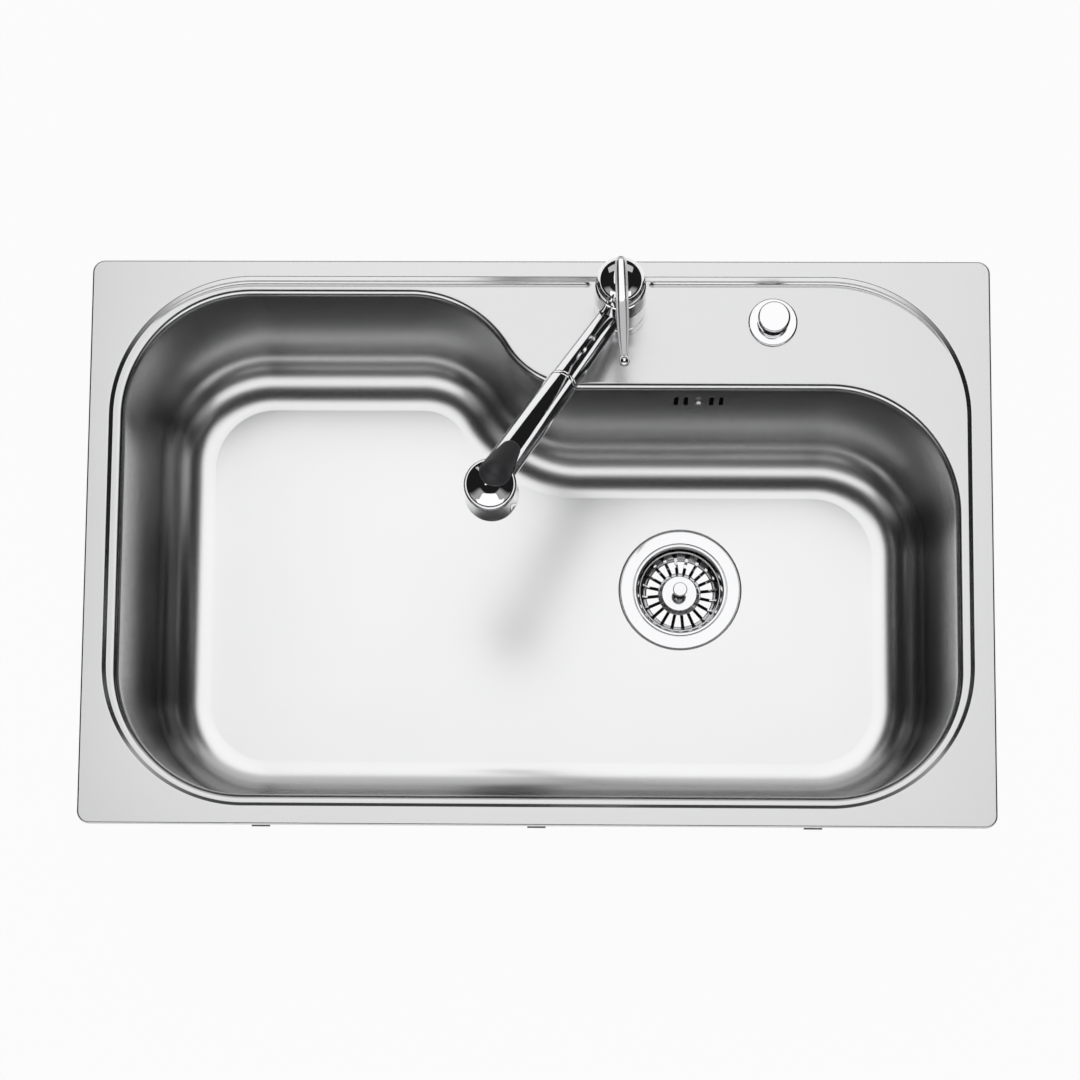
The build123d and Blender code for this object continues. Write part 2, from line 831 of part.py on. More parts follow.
with BuildPart() as basket_seal:
    turned(
        waste,
        [
            (stem_radius, seal_back + seal_root),
            (stem_flange_radius, seal_back + seal_root),
            (seal_radius, seal_bottom + 1.5),
            (seal_radius, seal_bottom),
            (seal_radius - 3, seal_bottom),
            (stem_flange_radius, seal_back),
            (stem_radius, seal_back),
        ],
    )
basket_seal.part.label = "basket_seal"
export_step(basket_seal.part, "parts/basket_seal.step")

with BuildPart() as seal_clip:
    sleeve(waste, stem_flange_radius, stem_radius, seal_back - 0.8, seal_back)
seal_clip.part.label = "seal_clip"
export_step(seal_clip.part, "parts/seal_clip.step")

# Lifting gear: a pin in a guide that brings the control cable in from the side
guide_top = stem_end - guide_top_gap
pin_top = stem_end - seal_clearance
pin_foot = -guide_depth + guide_duct_bore + pin_foot_gap
with BuildPart() as lift_pin:
    disc(waste, lift_pin_radius, pin_foot, pin_top)
lift_pin.part.label = "lift_pin"
export_step(lift_pin.part, "parts/lift_pin.step")

duct_length = boss_face + duct_beyond_boss
with BuildPart() as lift_guide:
    disc(waste, guide_radius, -guide_depth - guide_radius - 2, guide_top)
    with BuildSketch(duct):
        Circle(guide_radius)
    extrude(amount=duct_length)
    with BuildSketch(duct.offset(boss_inner - guide_collar_length)):
        Circle(guide_radius + guide_collar)
    extrude(amount=guide_collar_length)
    lift_bore = lift_pin_radius + lift_bore_clearance
    disc(waste, lift_bore, -guide_depth - guide_duct_bore, guide_top, Mode.SUBTRACT)
    with BuildSketch(duct):
        Circle(guide_duct_bore)
    extrude(amount=duct_length, mode=Mode.SUBTRACT)
lift_guide.part.label = "lift_guide"
export_step(lift_guide.part, "parts/lift_guide.step")

with BuildPart() as lift_guide_nut:
    with BuildSketch(duct.offset(boss_face)):
        RegularPolygon(boss_radius - 0.5, 6)
        Circle(guide_radius + press_fit, mode=Mode.SUBTRACT)
    extrude(amount=guide_nut_height)
lift_guide_nut.part.label = "lift_guide_nut"
export_step(lift_guide_nut.part, "parts/lift_guide_nut.step")

# Overflow behind the back wall
plate_back = sheet + overflow_gasket_thickness
pipe_y = overflow_wall_y + plate_back + overflow_box_depth / 2 + 0.6
spigot_end = overflow_level - overflow_plate_height / 2 - spigot_length

with BuildPart() as overflow_screw:
    with BuildSketch(overflow_plane):
        Circle(overflow_screw_radius)
    extrude(amount=overflow_screw_length)
    with BuildSketch(overflow_plane):
        Circle(overflow_head_radius)
    extrude(amount=-overflow_head_height)
    fillet(overflow_screw.faces().sort_by(Axis.Y)[0].edges(), radius=overflow_head_round)
overflow_screw.part.label = "overflow_screw"
export_step(overflow_screw.part, "parts/overflow_screw.step")

with BuildPart() as overflow_gasket:
    with BuildSketch(overflow_plane.offset(sheet)):
        gasket_width = overflow_plate_width - 2 * overflow_gasket_inset
        gasket_height = overflow_plate_height - 2 * overflow_gasket_inset
        RectangleRounded(gasket_width, gasket_height, 6)
        RectangleRounded(
            gasket_width - 2 * overflow_gasket_side,
            gasket_height - 2 * overflow_gasket_end,
            4,
            mode=Mode.SUBTRACT,
        )
    extrude(amount=overflow_gasket_thickness)
overflow_gasket.part.label = "overflow_gasket"
export_step(overflow_gasket.part, "parts/overflow_gasket.step")

with BuildPart() as overflow_housing:
    with BuildSketch(overflow_plane.offset(plate_back)):
        RectangleRounded(overflow_plate_width, overflow_plate_height, 7)
    extrude(amount=overflow_box_depth)
    with BuildSketch(Plane((overflow_x, pipe_y, overflow_level))):
        Circle(spigot_radius)
    extrude(amount=spigot_end - overflow_level)
    with BuildSketch(overflow_plane.offset(plate_back)):
        RectangleRounded(
            overflow_plate_width - 2 * overflow_wall - 6, overflow_plate_height - 2 * overflow_wall - 4, 5
        )
    extrude(amount=overflow_box_depth - overflow_wall, mode=Mode.SUBTRACT)
    with BuildSketch(Plane((overflow_x, pipe_y, spigot_end))):
        Circle(pipe_radius + pipe_fit)
    extrude(amount=overflow_plate_height / 2 + spigot_length - 4, mode=Mode.SUBTRACT)
    with BuildSketch(overflow_plane.offset(sheet)):
        Circle(overflow_screw_radius + overflow_boss_wall)
    extrude(amount=overflow_box_depth)
    with BuildSketch(overflow_plane.offset(sheet)):
        Circle(overflow_screw_radius + press_fit)
    extrude(amount=overflow_screw_length, mode=Mode.SUBTRACT)
overflow_housing.part.label = "overflow_housing"
export_step(overflow_housing.part, "parts/overflow_housing.step")

pipe_top = spigot_end + pipe_insert
pipe_start = drain_y + body_outer + 4
with BuildPart() as overflow_pipe:
    with BuildLine(Plane(origin=(overflow_x, 0, 0), x_dir=(0, 1, 0), z_dir=(1, 0, 0))) as route:
        FilletPolyline(
            (pipe_y, pipe_top), (pipe_y, inlet_level), (pipe_start, inlet_level), radius=pipe_bend_radius
        )
    with BuildSketch(Plane(origin=(overflow_x, pipe_y, pipe_top), x_dir=(1, 0, 0), z_dir=(0, 0, -1))):
        Circle(pipe_radius)
        Circle(pipe_radius - pipe_wall, mode=Mode.SUBTRACT)
    sweep(path=route.line)
overflow_pipe.part.label = "overflow_pipe"
export_step(overflow_pipe.part, "parts/overflow_pipe.step")

nut_outline = [
    (spigot_radius + thread_fit, pipe_nut_length),
    (spigot_radius + pipe_nut_wall, pipe_nut_length),
    (spigot_radius + pipe_nut_wall, -pipe_nut_cap),
    (pipe_radius + 2 * pipe_fit, -pipe_nut_cap),
    (pipe_radius + 2 * pipe_fit, -rest_gap),
    (spigot_radius + thread_fit, -rest_gap),
]
with BuildPart() as overflow_nuts:
    turned(section_plane((overflow_x, pipe_y, spigot_end), (0, 0, 1), (1, 0, 0)), nut_outline)
    turned(section_plane((overflow_x, inlet_end, inlet_level), (0, -1, 0), (1, 0, 0)), nut_outline)
overflow_nuts.part.label = "overflow_nuts"
export_step(overflow_nuts.part, "parts/overflow_nuts.step")

# Remote control: heights run up from the deck
control = section_plane((control_x, control_y, deck_top), (0, 0, 1), (1, 0, 0))
neck_radius = deck_hole_radius - neck_clearance
neck_top = 1.6
gland_level = deck_top - gland_drop
gland_radius = 5.5
nut_top = -sheet - 2

with BuildPart() as control_rosette:
    turned(
        control,
        [
            (spindle_radius + 3.2, neck_top + 0.2),
            (neck_radius + 0.1, neck_top + 0.2),
            (neck_radius + 0.1, 0),
            (rosette_radius, 0),
            (rosette_radius, 1.0),
            (rosette_radius - 3, rosette_height - 0.6),
            (rosette_radius - 6.3, rosette_height),
            (spindle_radius + 3.2, rosette_height),
        ],
    )
control_rosette.part.label = "control_rosette"
export_step(control_rosette.part, "parts/control_rosette.step")

with BuildPart() as control_knob:
    knob_foot = rosette_height + 0.6
    turned(
        control,
        [
            (spindle_radius, knob_foot),
            (knob_radius - 1.4, knob_foot),
            (knob_radius - 1.0, knob_foot + 1),
            (knob_radius - 1.0, knob_foot + 4.4),
            (knob_radius - 1.6, knob_foot + 4.8),
            (knob_radius - 1.6, knob_foot + 5.4),
            (knob_radius, knob_foot + 6),
            (knob_radius, knob_height - 1.2),
            (knob_radius - 1.0, knob_height - 0.2),
            (0, knob_height),
            (0, knob_height - knob_bore_depth),
            (spindle_radius, knob_height - knob_bore_depth),
        ],
    )
control_knob.part.label = "control_knob"
export_step(control_knob.part, "parts/control_knob.step")

with BuildPart() as control_housing:
    turned(
        control,
        [
            (spindle_radius + running_fit, neck_top),
            (neck_radius, neck_top),
            (neck_radius, -12),
            (control_body_radius, -14),
            (control_body_radius, -control_depth),
            (control_body_radius - control_body_wall, -control_depth),
            (control_body_radius - control_body_wall, -17),
            (spindle_radius + running_fit, -10),
        ],
    )
    side = Plane(origin=(control_x, control_y, gland_level), x_dir=(0, 1, 0), z_dir=(1, 0, 0))
    with BuildSketch(side.offset(control_body_radius - 2 * control_body_wall)):
        Circle(gland_radius)
    extrude(amount=3 * control_body_wall, mode=Mode.SUBTRACT)
control_housing.part.label = "control_housing"
export_step(control_housing.part, "parts/control_housing.step")

with BuildPart() as control_lid:
    turned(
        control,
        [
            (0, -control_depth - 1.5),
            (control_body_radius, -control_depth - 1.5),
            (control_body_radius, -control_depth),
            (control_body_radius - 3.1, -control_depth),
            (control_body_radius - 3.1, -control_depth + 3),
            (control_body_radius - 5, -control_depth + 3),
            (control_body_radius - 5, -control_depth),
            (0, -control_depth),
        ],
    )
control_lid.part.label = "control_lid"
export_step(control_lid.part, "parts/control_lid.step")

cam_low = -31.0
cam_high = -20.0
with BuildPart() as control_spindle:
    disc(control, spindle_radius, -control_depth + 4, knob_height - knob_bore_depth)
control_spindle.part.label = "control_spindle"
export_step(control_spindle.part, "parts/control_spindle.step")

with BuildPart() as control_cam:
    sleeve(control, 12, spindle_radius, cam_low, cam_high)
    sleeve(control, 12, 10.5, cam_low + 3.5, cam_high - 3.5, Mode.SUBTRACT)
control_cam.part.label = "control_cam"
export_step(control_cam.part, "parts/control_cam.step")

with BuildPart() as control_gasket:
    sleeve(control, neck_radius + 5.5, neck_radius + 2 * rest_gap, nut_top, -sheet)
control_gasket.part.label = "control_gasket"
export_step(control_gasket.part, "parts/control_gasket.step")

with BuildPart() as control_nut:
    with BuildSketch(Plane((control_x, control_y, deck_top + nut_top))):
        RegularPolygon(neck_radius + 7, 6)
        Circle(neck_radius + thread_fit, mode=Mode.SUBTRACT)
    extrude(amount=-6)
control_nut.part.label = "control_nut"
export_step(control_nut.part, "parts/control_nut.step")

with BuildPart() as control_gland:
    gland = section_plane((control_x + control_body_radius, control_y, gland_level), (1, 0, 0), (0, 1, 0))
    turned(
        gland,
        [
            (3, -gland_insert),
            (gland_radius, -gland_insert),
            (gland_radius, 1),
            (7.5, 1),
            (7.5, 6),
            (5.5, 6),
            (4.8, 16),
            (3, 16),
        ],
    )
control_gland.part.label = "control_gland"
export_step(control_gland.part, "parts/control_gland.step")

# Tap: heights run up from the deck
tap = section_plane((tap_x, tap_y, deck_top), (0, 0, 1), (1, 0, 0))
seal_groove = 1.2
clip_low = shelf_height + circlip_play
clip_high = clip_low + circlip_thickness
base_seal_outer = base_radius - base_seal_outset
base_seal_inner = base_seal_outer - base_seal_width
washer_top = -sheet - tap_gasket_thickness
washer_under = washer_top - tap_washer_thickness
shank_socket = 6.0

with BuildPart() as tap_base:
    turned(
        tap,
        [
            (shank_radius, 0),
            (base_radius, 0),
            (base_radius, base_height - base_edge_round),
            (base_radius - base_edge_round, base_height),
            (journal_radius, base_height),
            (journal_radius, journal_top),
            (shank_bore, journal_top),
            (shank_bore, shank_socket),
            (shank_radius, shank_socket),
        ],
    )
    sleeve(tap, base_seal_outer, base_seal_inner, 0, seal_groove, Mode.SUBTRACT)
    sleeve(tap, journal_radius, journal_radius - circlip_groove, clip_low, clip_high, Mode.SUBTRACT)
tap_base.part.label = "tap_base"
export_step(tap_base.part, "parts/tap_base.step")

with BuildPart() as base_seal:
    sleeve(tap, base_seal_outer, base_seal_inner, 0, seal_groove)
base_seal.part.label = "base_seal"
export_step(base_seal.part, "parts/base_seal.step")

with BuildPart() as tap_shank:
    sleeve(tap, shank_radius, shank_bore, -shank_length, shank_socket)
tap_shank.part.label = "tap_shank"
export_step(tap_shank.part, "parts/tap_shank.step")

with BuildPart() as tap_gasket:
    sleeve(tap, clamp_radius, shank_radius + clamp_bore_gap, washer_top, -sheet)
tap_gasket.part.label = "tap_gasket"
export_step(tap_gasket.part, "parts/tap_gasket.step")

with BuildPart() as tap_washer:
    sleeve(tap, clamp_radius, shank_radius + clamp_bore_gap, washer_under, washer_top)
tap_washer.part.label = "tap_washer"
export_step(tap_washer.part, "parts/tap_washer.step")

with BuildPart() as tap_nut:
    with BuildSketch(Plane((tap_x, tap_y, deck_top + washer_under))):
        RegularPolygon(clamp_radius, 6)
        Circle(shank_radius + thread_fit, mode=Mode.SUBTRACT)
    extrude(amount=-tap_nut_height)
tap_nut.part.label = "tap_nut"
export_step(tap_nut.part, "parts/tap_nut.step")

with BuildPart() as swivel_ring:
    sleeve(tap, base_radius - 0.8, journal_radius + 0.1, base_height, base_height + 0.8)
swivel_ring.part.label = "swivel_ring"
export_step(swivel_ring.part, "parts/swivel_ring.step")

with BuildPart() as body_circlip:
    sleeve(tap, journal_radius + circlip_stand, journal_radius - circlip_groove, clip_low, clip_high)
body_circlip.part.label = "body_circlip"
export_step(body_circlip.part, "parts/body_circlip.step")

# Spout line: it leaves the tap's axis low down and rises to the front left
turn = radians(spout_turn)
rise = radians(spout_rise)
spout_direction = Vector(-sin(turn) * cos(rise), -cos(turn) * cos(rise), sin(rise))
spout_across = Vector(cos(turn), -sin(turn), 0)
spout_origin = Vector(tap_x, tap_y, deck_top + spout_root)
spout = section_plane(spout_origin, spout_direction, spout_across)
port_places = [
    (port_circle * cos(radians(angle)), port_circle * sin(radians(angle))) for angle in port_angles
]
body_foot = base_height + body_gap_above_base

with BuildPart() as tap_body:
    turned(
        tap,
        [
            (0, body_foot),
            (base_radius - 0.5, body_foot),
            (base_radius, body_foot + base_edge_round),
            (barrel_radius, barrel_belly),
            (barrel_radius - barrel_shoulder_inset, barrel_shoulder),
            (barrel_radius - barrel_edge_inset, barrel_top - barrel_edge_drop),
            (cap_radius, barrel_top),
            (0, barrel_top),
        ],
    )
    turned(
        spout,
        [
            (0, 0),
            (sleeve_root_radius, 0),
            (sleeve_tip_radius, sleeve_length - sleeve_tip_round),
            (sleeve_tip_radius - sleeve_tip_round, sleeve_length),
            (0, sleeve_length),
        ],
    )
    turned(
        tap,
        [
            (0, body_foot),
            (journal_radius + running_fit, body_foot),
            (journal_radius + running_fit, shelf_height),
            (journal_radius + 3, shelf_height),
            (journal_radius + 3, partition_bottom - 3),
            (journal_radius, partition_bottom),
            (0, partition_bottom),
        ],
        Mode.SUBTRACT,
    )
    nut_radius = cartridge_radius + 1.4
    turned(
        tap,
        [
            (0, partition_top),
            (cartridge_radius + thread_fit, partition_top),
            (cartridge_radius + thread_fit, cartridge_shoulder),
            (nut_radius + thread_fit, cartridge_shoulder),
            (nut_radius + thread_fit, barrel_top),
            (0, barrel_top),
        ],
        Mode.SUBTRACT,
    )
    with BuildSketch(Plane((tap_x, tap_y, deck_top + partition_bottom))):
        with Locations(*port_places):
            Circle(port_radius)
    extrude(amount=partition_top - partition_bottom, mode=Mode.SUBTRACT)
    disc(spout, hose_passage, hose_passage_start, sleeve_length, Mode.SUBTRACT)
    disc(spout, sleeve_tip_radius - sleeve_tip_lip, sleeve_length - bush_length, sleeve_length, Mode.SUBTRACT)
tap_body.part.label = "tap_body"
export_step(tap_body.part, "parts/tap_body.step")

bush_bore = hose_passage - 0.1
with BuildPart() as spout_bush:
    bush_radius = sleeve_tip_radius - sleeve_tip_lip
    sleeve(spout, bush_radius, bush_bore, sleeve_length - bush_length, sleeve_length - rest_gap)
spout_bush.part.label = "spout_bush"
export_step(spout_bush.part, "parts/spout_bush.step")


def nipple(place):
    """One threaded tail under the cartridge, at a place given from the tap's axis."""
    foot = section_plane((tap_x + place[0], tap_y + place[1], deck_top), (0, 0, 1), (1, 0, 0))
    turned(
        foot,
        [
            (tail_bore, partition_bottom),
            (tail_radius, partition_bottom),
            (tail_radius, tail_thread_top),
            (tail_thread_radius, tail_thread_top),
            (tail_thread_radius, tail_foot),
            (tail_bore, tail_foot),
        ],
    )


with BuildPart() as tap_tails:
    for port_place in port_places:
        nipple(port_place)
tap_tails.part.label = "tap_tails"
export_step(tap_tails.part, "parts/tap_tails.step")

# Cartridge
case_bore = 9.0
disc_low = partition_top + disc_seat
disc_mid = disc_low + fixed_disc_thickness
disc_high = disc_mid + moving_disc_thickness
neck = 13.0
with BuildPart() as cartridge_case:
    turned(
        tap,
        [
            (0, partition_top),
            (cartridge_radius, partition_top),
            (cartridge_radius, cartridge_shoulder),
            (neck, cartridge_shoulder),
            (neck, carrier_height - 0.3),
            (case_bore, carrier_height - 0.3),
            (case_bore, disc_high + 0.3),
            (fixed_disc_radius + disc_film, disc_high + 0.3),
            (fixed_disc_radius + disc_film, disc_low),
            (0, disc_low),
        ],
    )
    with BuildSketch(Plane((tap_x, tap_y, deck_top + partition_top))):
        with Locations(*port_places):
            Circle(port_radius)
    extrude(amount=disc_seat, mode=Mode.SUBTRACT)
cartridge_case.part.label = "cartridge_case"
export_step(cartridge_case.part, "parts/cartridge_case.step")

with BuildPart() as fixed_disc:
    disc(tap, fixed_disc_radius, disc_low, disc_mid - disc_film)
    with BuildSketch(Plane((tap_x, tap_y, deck_top + disc_low))):
        with Locations(*port_places):
            Circle(port_radius)
    extrude(amount=disc_mid - disc_low, mode=Mode.SUBTRACT)
fixed_disc.part.label = "fixed_disc"
export_step(fixed_disc.part, "parts/fixed_disc.step")

with BuildPart() as cartridge_nut:
    sleeve(tap, nut_radius, neck + 0.3, cartridge_shoulder + rest_gap, barrel_top - rest_gap)
cartridge_nut.part.label = "cartridge_nut"
export_step(cartridge_nut.part, "parts/cartridge_nut.step")

# Lever frame: turned about the tap's axis so that local -y is the way the lever points
lever_angle = radians(lever_turn)
lever_frame = Plane(
    origin=(tap_x, tap_y, deck_top), x_dir=(cos(lever_angle), sin(lever_angle), 0), z_dir=(0, 0, 1)
)
lever_side = Plane(origin=lever_frame.origin, x_dir=lever_frame.y_dir, z_dir=lever_frame.x_dir)
sleeve_bore = 7.5
ear_gap = 12.0
ear_thickness = 3.0
ear_depth = 10.0
pin_radius = 1.5

with BuildPart() as moving_disc:
    disc(tap, moving_disc_radius, disc_mid + disc_film, disc_high)
moving_disc.part.label = "moving_disc"
export_step(moving_disc.part, "parts/moving_disc.step")

with BuildPart() as mix_carrier:
    sleeve(tap, cap_radius - cap_wall - 0.1, sleeve_bore, carrier_height, carrier_height + 2)
    sleeve(tap, case_bore - running_fit, sleeve_bore, disc_high, carrier_height)
    with BuildSketch(lever_frame.offset(carrier_height + 2)):
        with Locations(((ear_gap + ear_thickness) / 2, 0), (-(ear_gap + ear_thickness) / 2, 0)):
            Rectangle(ear_thickness, ear_depth)
    extrude(amount=tilt_height - carrier_height + 1.5)
    with BuildSketch(lever_side.offset(-ear_gap)):
        with Locations((0, tilt_height)):
            Circle(pin_radius)
    extrude(amount=2 * ear_gap, mode=Mode.SUBTRACT)
mix_carrier.part.label = "mix_carrier"
export_step(mix_carrier.part, "parts/mix_carrier.step")

with BuildPart() as pivot_pin:
    with BuildSketch(lever_side.offset(-ear_gap / 2 - ear_thickness)):
        with Locations((0, tilt_height)):
            Circle(pin_radius)
    extrude(amount=ear_gap + 2 * ear_thickness)
pivot_pin.part.label = "pivot_pin"
export_step(pivot_pin.part, "parts/pivot_pin.step")

cap_top = cap_wall_top + 1.2 * cap_edge_radius
slot_back = (
    stem_width / 2 / cos(radians(lever_tilt))
    + (cap_top - tilt_height) * tan(radians(lever_tilt))
    + slot_clearance
)


def cap_sketch(inset):
    """Half section of the lever's cap, moved in by inset: a wall, a round edge, a flat dome."""
    edge = cap_edge_radius - inset
    turn_left = 90 - cap_edge_turn
    with BuildSketch(tap) as outline:
        with BuildLine():
            side = Line((cap_radius - inset, barrel_top + 0.6), (cap_radius - inset, cap_wall_top))
            shoulder = JernArc(side @ 1, (0, 1), edge, cap_edge_turn)
            dome_radius = (shoulder @ 1).X / sin(radians(turn_left))
            crown = JernArc(shoulder @ 1, shoulder % 1, dome_radius, turn_left)
            axis_line = Line(crown @ 1, (0, barrel_top + 0.6))
            Line(axis_line @ 1, side @ 0)
        make_face()
    return outline.sketch


with BuildPart() as lever_cap:
    revolve(cap_sketch(0), axis=Axis(tap.origin, tap.y_dir))
    revolve(cap_sketch(cap_wall), axis=Axis(tap.origin, tap.y_dir), mode=Mode.SUBTRACT)
    with BuildSketch(lever_frame.offset(cap_wall_top - 2)):
        front = -stem_width / 2 - slot_clearance
        with Locations((0, (front + slot_back) / 2)):
            Rectangle(stem_width + 2 * slot_clearance, slot_back - front)
    extrude(amount=2 * cap_edge_radius, mode=Mode.SUBTRACT)
lever_cap.part.label = "lever_cap"
export_step(lever_cap.part, "parts/lever_cap.step")

stem_top = lever_root_height
with BuildPart() as lever_stem:
    with BuildSketch(lever_frame.offset(tilt_height - stem_foot_depth)):
        Rectangle(ear_gap - 1, stem_foot_width)
    extrude(amount=stem_foot_depth + stem_foot_height)
    with BuildSketch(lever_frame.offset(tilt_height + stem_foot_height)):
        Rectangle(stem_width, stem_width)
    extrude(amount=stem_top - tilt_height - stem_foot_height)
    disc(tap, stem_ball_radius, tilt_height - stem_ball_drop, tilt_height - stem_foot_depth)
    with BuildSketch(lever_side.offset(-ear_gap / 2)):
        with Locations((0, tilt_height)):
            Circle(pin_radius + running_fit)
    extrude(amount=ear_gap, mode=Mode.SUBTRACT)
lever_stem.part.label = "lever_stem"
export_step(lever_stem.part, "parts/lever_stem.step")

# Lever: its side view is a band along a gentle arc, its plan a long leaf with a ball at the tip
rise_start = radians(lever_start_rise)
rise_end = radians(lever_end_rise)
ball_forward = -lever_back + lever_arc_radius * (sin(rise_end) - sin(rise_start))
ball_height = lever_root_height + lever_arc_radius * (cos(rise_start) - cos(rise_end))
neck_forward = ball_forward - ball_radius * cos(rise_end)
neck_height = ball_height - ball_radius * sin(rise_end)
half = lever_thickness / 2
tip_half = lever_tip_thickness / 2

with BuildPart() as lever:
    with BuildSketch(lever_side.offset(-lever_half_width - 1)):
        with BuildLine():
            middle_forward = neck_forward / 2
            top_rear = (lever_back, lever_root_height + half - lever_rear_ease)
            top_front = (-neck_forward, neck_height + tip_half)
            low_rear = (lever_back, lever_root_height - half + lever_rear_ease)
            low_front = (-neck_forward, neck_height - tip_half)
            mid_height = (lever_root_height + neck_height) / 2 - lever_sag
            ThreePointArc(top_rear, (-middle_forward + lever_back / 2, mid_height + half), top_front)
            Line(top_front, low_front)
            ThreePointArc(low_front, (-middle_forward + lever_back / 2, mid_height - half), low_rear)
            Line(low_rear, top_rear)
        make_face()
    extrude(amount=2 * lever_half_width + 2)
    with BuildSketch(lever_frame.offset(lever_root_height - 2 * lever_thickness)):
        with BuildLine():
            rear_flank = lever_back - lever_half_width
            right_side = Spline(
                (lever_rear_half_width, rear_flank),
                (lever_half_width, -lever_widest),
                (lever_tip_half_width, -neck_forward),
                tangents=[(0.05, -1), (-0.1, -1)],
            )
            left_side = Spline(
                (-lever_rear_half_width, rear_flank),
                (-lever_half_width, -lever_widest),
                (-lever_tip_half_width, -neck_forward),
                tangents=[(-0.05, -1), (0.1, -1)],
            )
            Line(right_side @ 1, left_side @ 1)
            ThreePointArc(right_side @ 0, (0, lever_back), left_side @ 0)
        make_face()
    extrude(amount=neck_height, mode=Mode.INTERSECT)
    # Relief over the cap, so that the lever clears it through the whole tilt
    with BuildSketch(lever_side.offset(-lever_half_width - 1)):
        with Locations((0, tilt_height)):
            Circle(cap_reach + lever_cap_gap)
    extrude(amount=2 * lever_half_width + 2, mode=Mode.SUBTRACT)
    with BuildSketch(lever_frame.offset(tilt_height)):
        Rectangle(stem_width + 2 * press_fit, stem_width + 2 * press_fit)
    extrude(amount=stem_top - tilt_height, mode=Mode.SUBTRACT)
    with Locations(lever_frame.location * Location((0, -ball_forward, ball_height))):
        Sphere(ball_radius)
lever.part.label = "lever"
export_step(lever.part, "parts/lever.step")

# Handset: a tapered grip on the spout's line that runs into an upright bell
nozzle_x = tap_x - spout_reach * sin(turn)
nozzle_y = tap_y - spout_reach * cos(turn)
nozzle = section_plane((nozzle_x, nozzle_y, 0), (0, 0, 1), (1, 0, 0))
grip_start = sleeve_length + handset_seam
grip_end = handset_joint / cos(rise)
to_tap = Vector(sin(turn), cos(turn), 0)
joint_place = Vector(tap_x, tap_y, 0) - to_tap * handset_joint + up * joint_height


def handset_form(grow, start, foot):
    """Outer form of the handset, moved out by grow, from a start along the grip down to a foot."""
    turned(
        spout,
        [
            (0, start),
            (handset_rear_radius + grow, start),
            (handset_front_radius + grow, grip_end),
            (0, grip_end),
        ],
    )
    with Locations(Location(joint_place)):
        Sphere(handset_front_radius + grow)
    shoulder = bell_top - bell_waist_radius
    with BuildSketch(nozzle) as bell:
        with BuildLine():
            foot_line = Line((0, foot), (bell_foot_radius + grow, foot))
            rim_line = Line(foot_line @ 1, (bell_foot_radius + grow, outlet_height + bell_rim_height))
            flare = Line(rim_line @ 1, (bell_waist_radius + grow, outlet_height + bell_flare_height))
            side = Line(flare @ 1, (bell_waist_radius + grow, shoulder))
            crown = JernArc(side @ 1, (0, 1), bell_waist_radius + grow, 90)
            Line(crown @ 1, foot_line @ 0)
        make_face()
    revolve(bell.sketch, axis=Axis(nozzle.origin, nozzle.y_dir))


# Plane through the grip's line; the spray button and its pocket lie above it
grip_middle = Plane(origin=spout_origin, x_dir=spout_across, z_dir=spout_direction.cross(spout_across))


def button_sketch(gap):
    """Outline of the spray button seen from above, a round front and a smaller round rear."""
    with BuildSketch(Plane((nozzle_x, nozzle_y, bell_top - 3 * bell_waist_radius))) as outline:
        front = to_tap * button_front_place
        rear = to_tap * button_rear_place
        with Locations((front.X, front.Y)):
            Circle(button_front_radius + gap)
        with Locations((rear.X, rear.Y)):
            Circle(button_rear_radius + gap)
        make_hull()
    return outline.sketch


with BuildPart() as handset_outer:
    handset_form(0, grip_start, outlet_height)
with BuildPart() as handset_inner:
    handset_form(-shell_wall, grip_start - 1, outlet_height - 1)
with BuildPart() as pocket_floor:
    handset_form(-button_depth, grip_start - 1, outlet_height - 1)
with BuildPart() as button_top:
    handset_form(button_proud, grip_start, outlet_height)
with BuildPart() as button_bottom:
    handset_form(-button_under, grip_start - 1, outlet_height - 1)
with BuildPart() as pocket:
    extrude(button_sketch(button_gap), amount=4 * bell_waist_radius)
    split(bisect_by=grip_middle.offset(-button_depth))
    add(pocket_floor.part, mode=Mode.SUBTRACT)

with BuildPart() as handset_shell:
    add(handset_outer.part)
    add(handset_inner.part, mode=Mode.SUBTRACT)
    add(pocket.part, mode=Mode.SUBTRACT)
handset_shell.part.label = "handset_shell"
export_step(handset_shell.part, "parts/handset_shell.step")

with BuildPart() as spray_button:
    extrude(button_sketch(0), amount=4 * bell_waist_radius)
    split(bisect_by=grip_middle)
    add(button_top.part, mode=Mode.INTERSECT)
    add(button_bottom.part, mode=Mode.SUBTRACT)
spray_button.part.label = "spray_button"
export_step(spray_button.part, "parts/spray_button.step")

collar_back = sleeve_length - collar_reach
collar_radius = bush_bore - running_fit
with BuildPart() as handset_collar:
    sleeve(spout, collar_radius, collar_bore, collar_back, grip_start + collar_insert)
    sleeve(spout, handset_rear_radius - shell_wall, collar_bore, grip_start, grip_start + collar_insert)
handset_collar.part.label = "handset_collar"
export_step(handset_collar.part, "parts/handset_collar.step")

with BuildPart() as hose_end:
    sleeve(spout, hose_radius, hose_bore, hose_start, collar_back)
hose_end.part.label = "hose_end"
export_step(hose_end.part, "parts/hose_end.step")

face_radius = bell_foot_radius - shell_wall
with BuildPart() as nozzle_ring:
    ring_foot = outlet_height - nozzle_ring_proud
    sleeve(nozzle, face_radius, face_radius - nozzle_ring_width, ring_foot, outlet_height + bell_rim_height)
nozzle_ring.part.label = "nozzle_ring"
export_step(nozzle_ring.part, "parts/nozzle_ring.step")

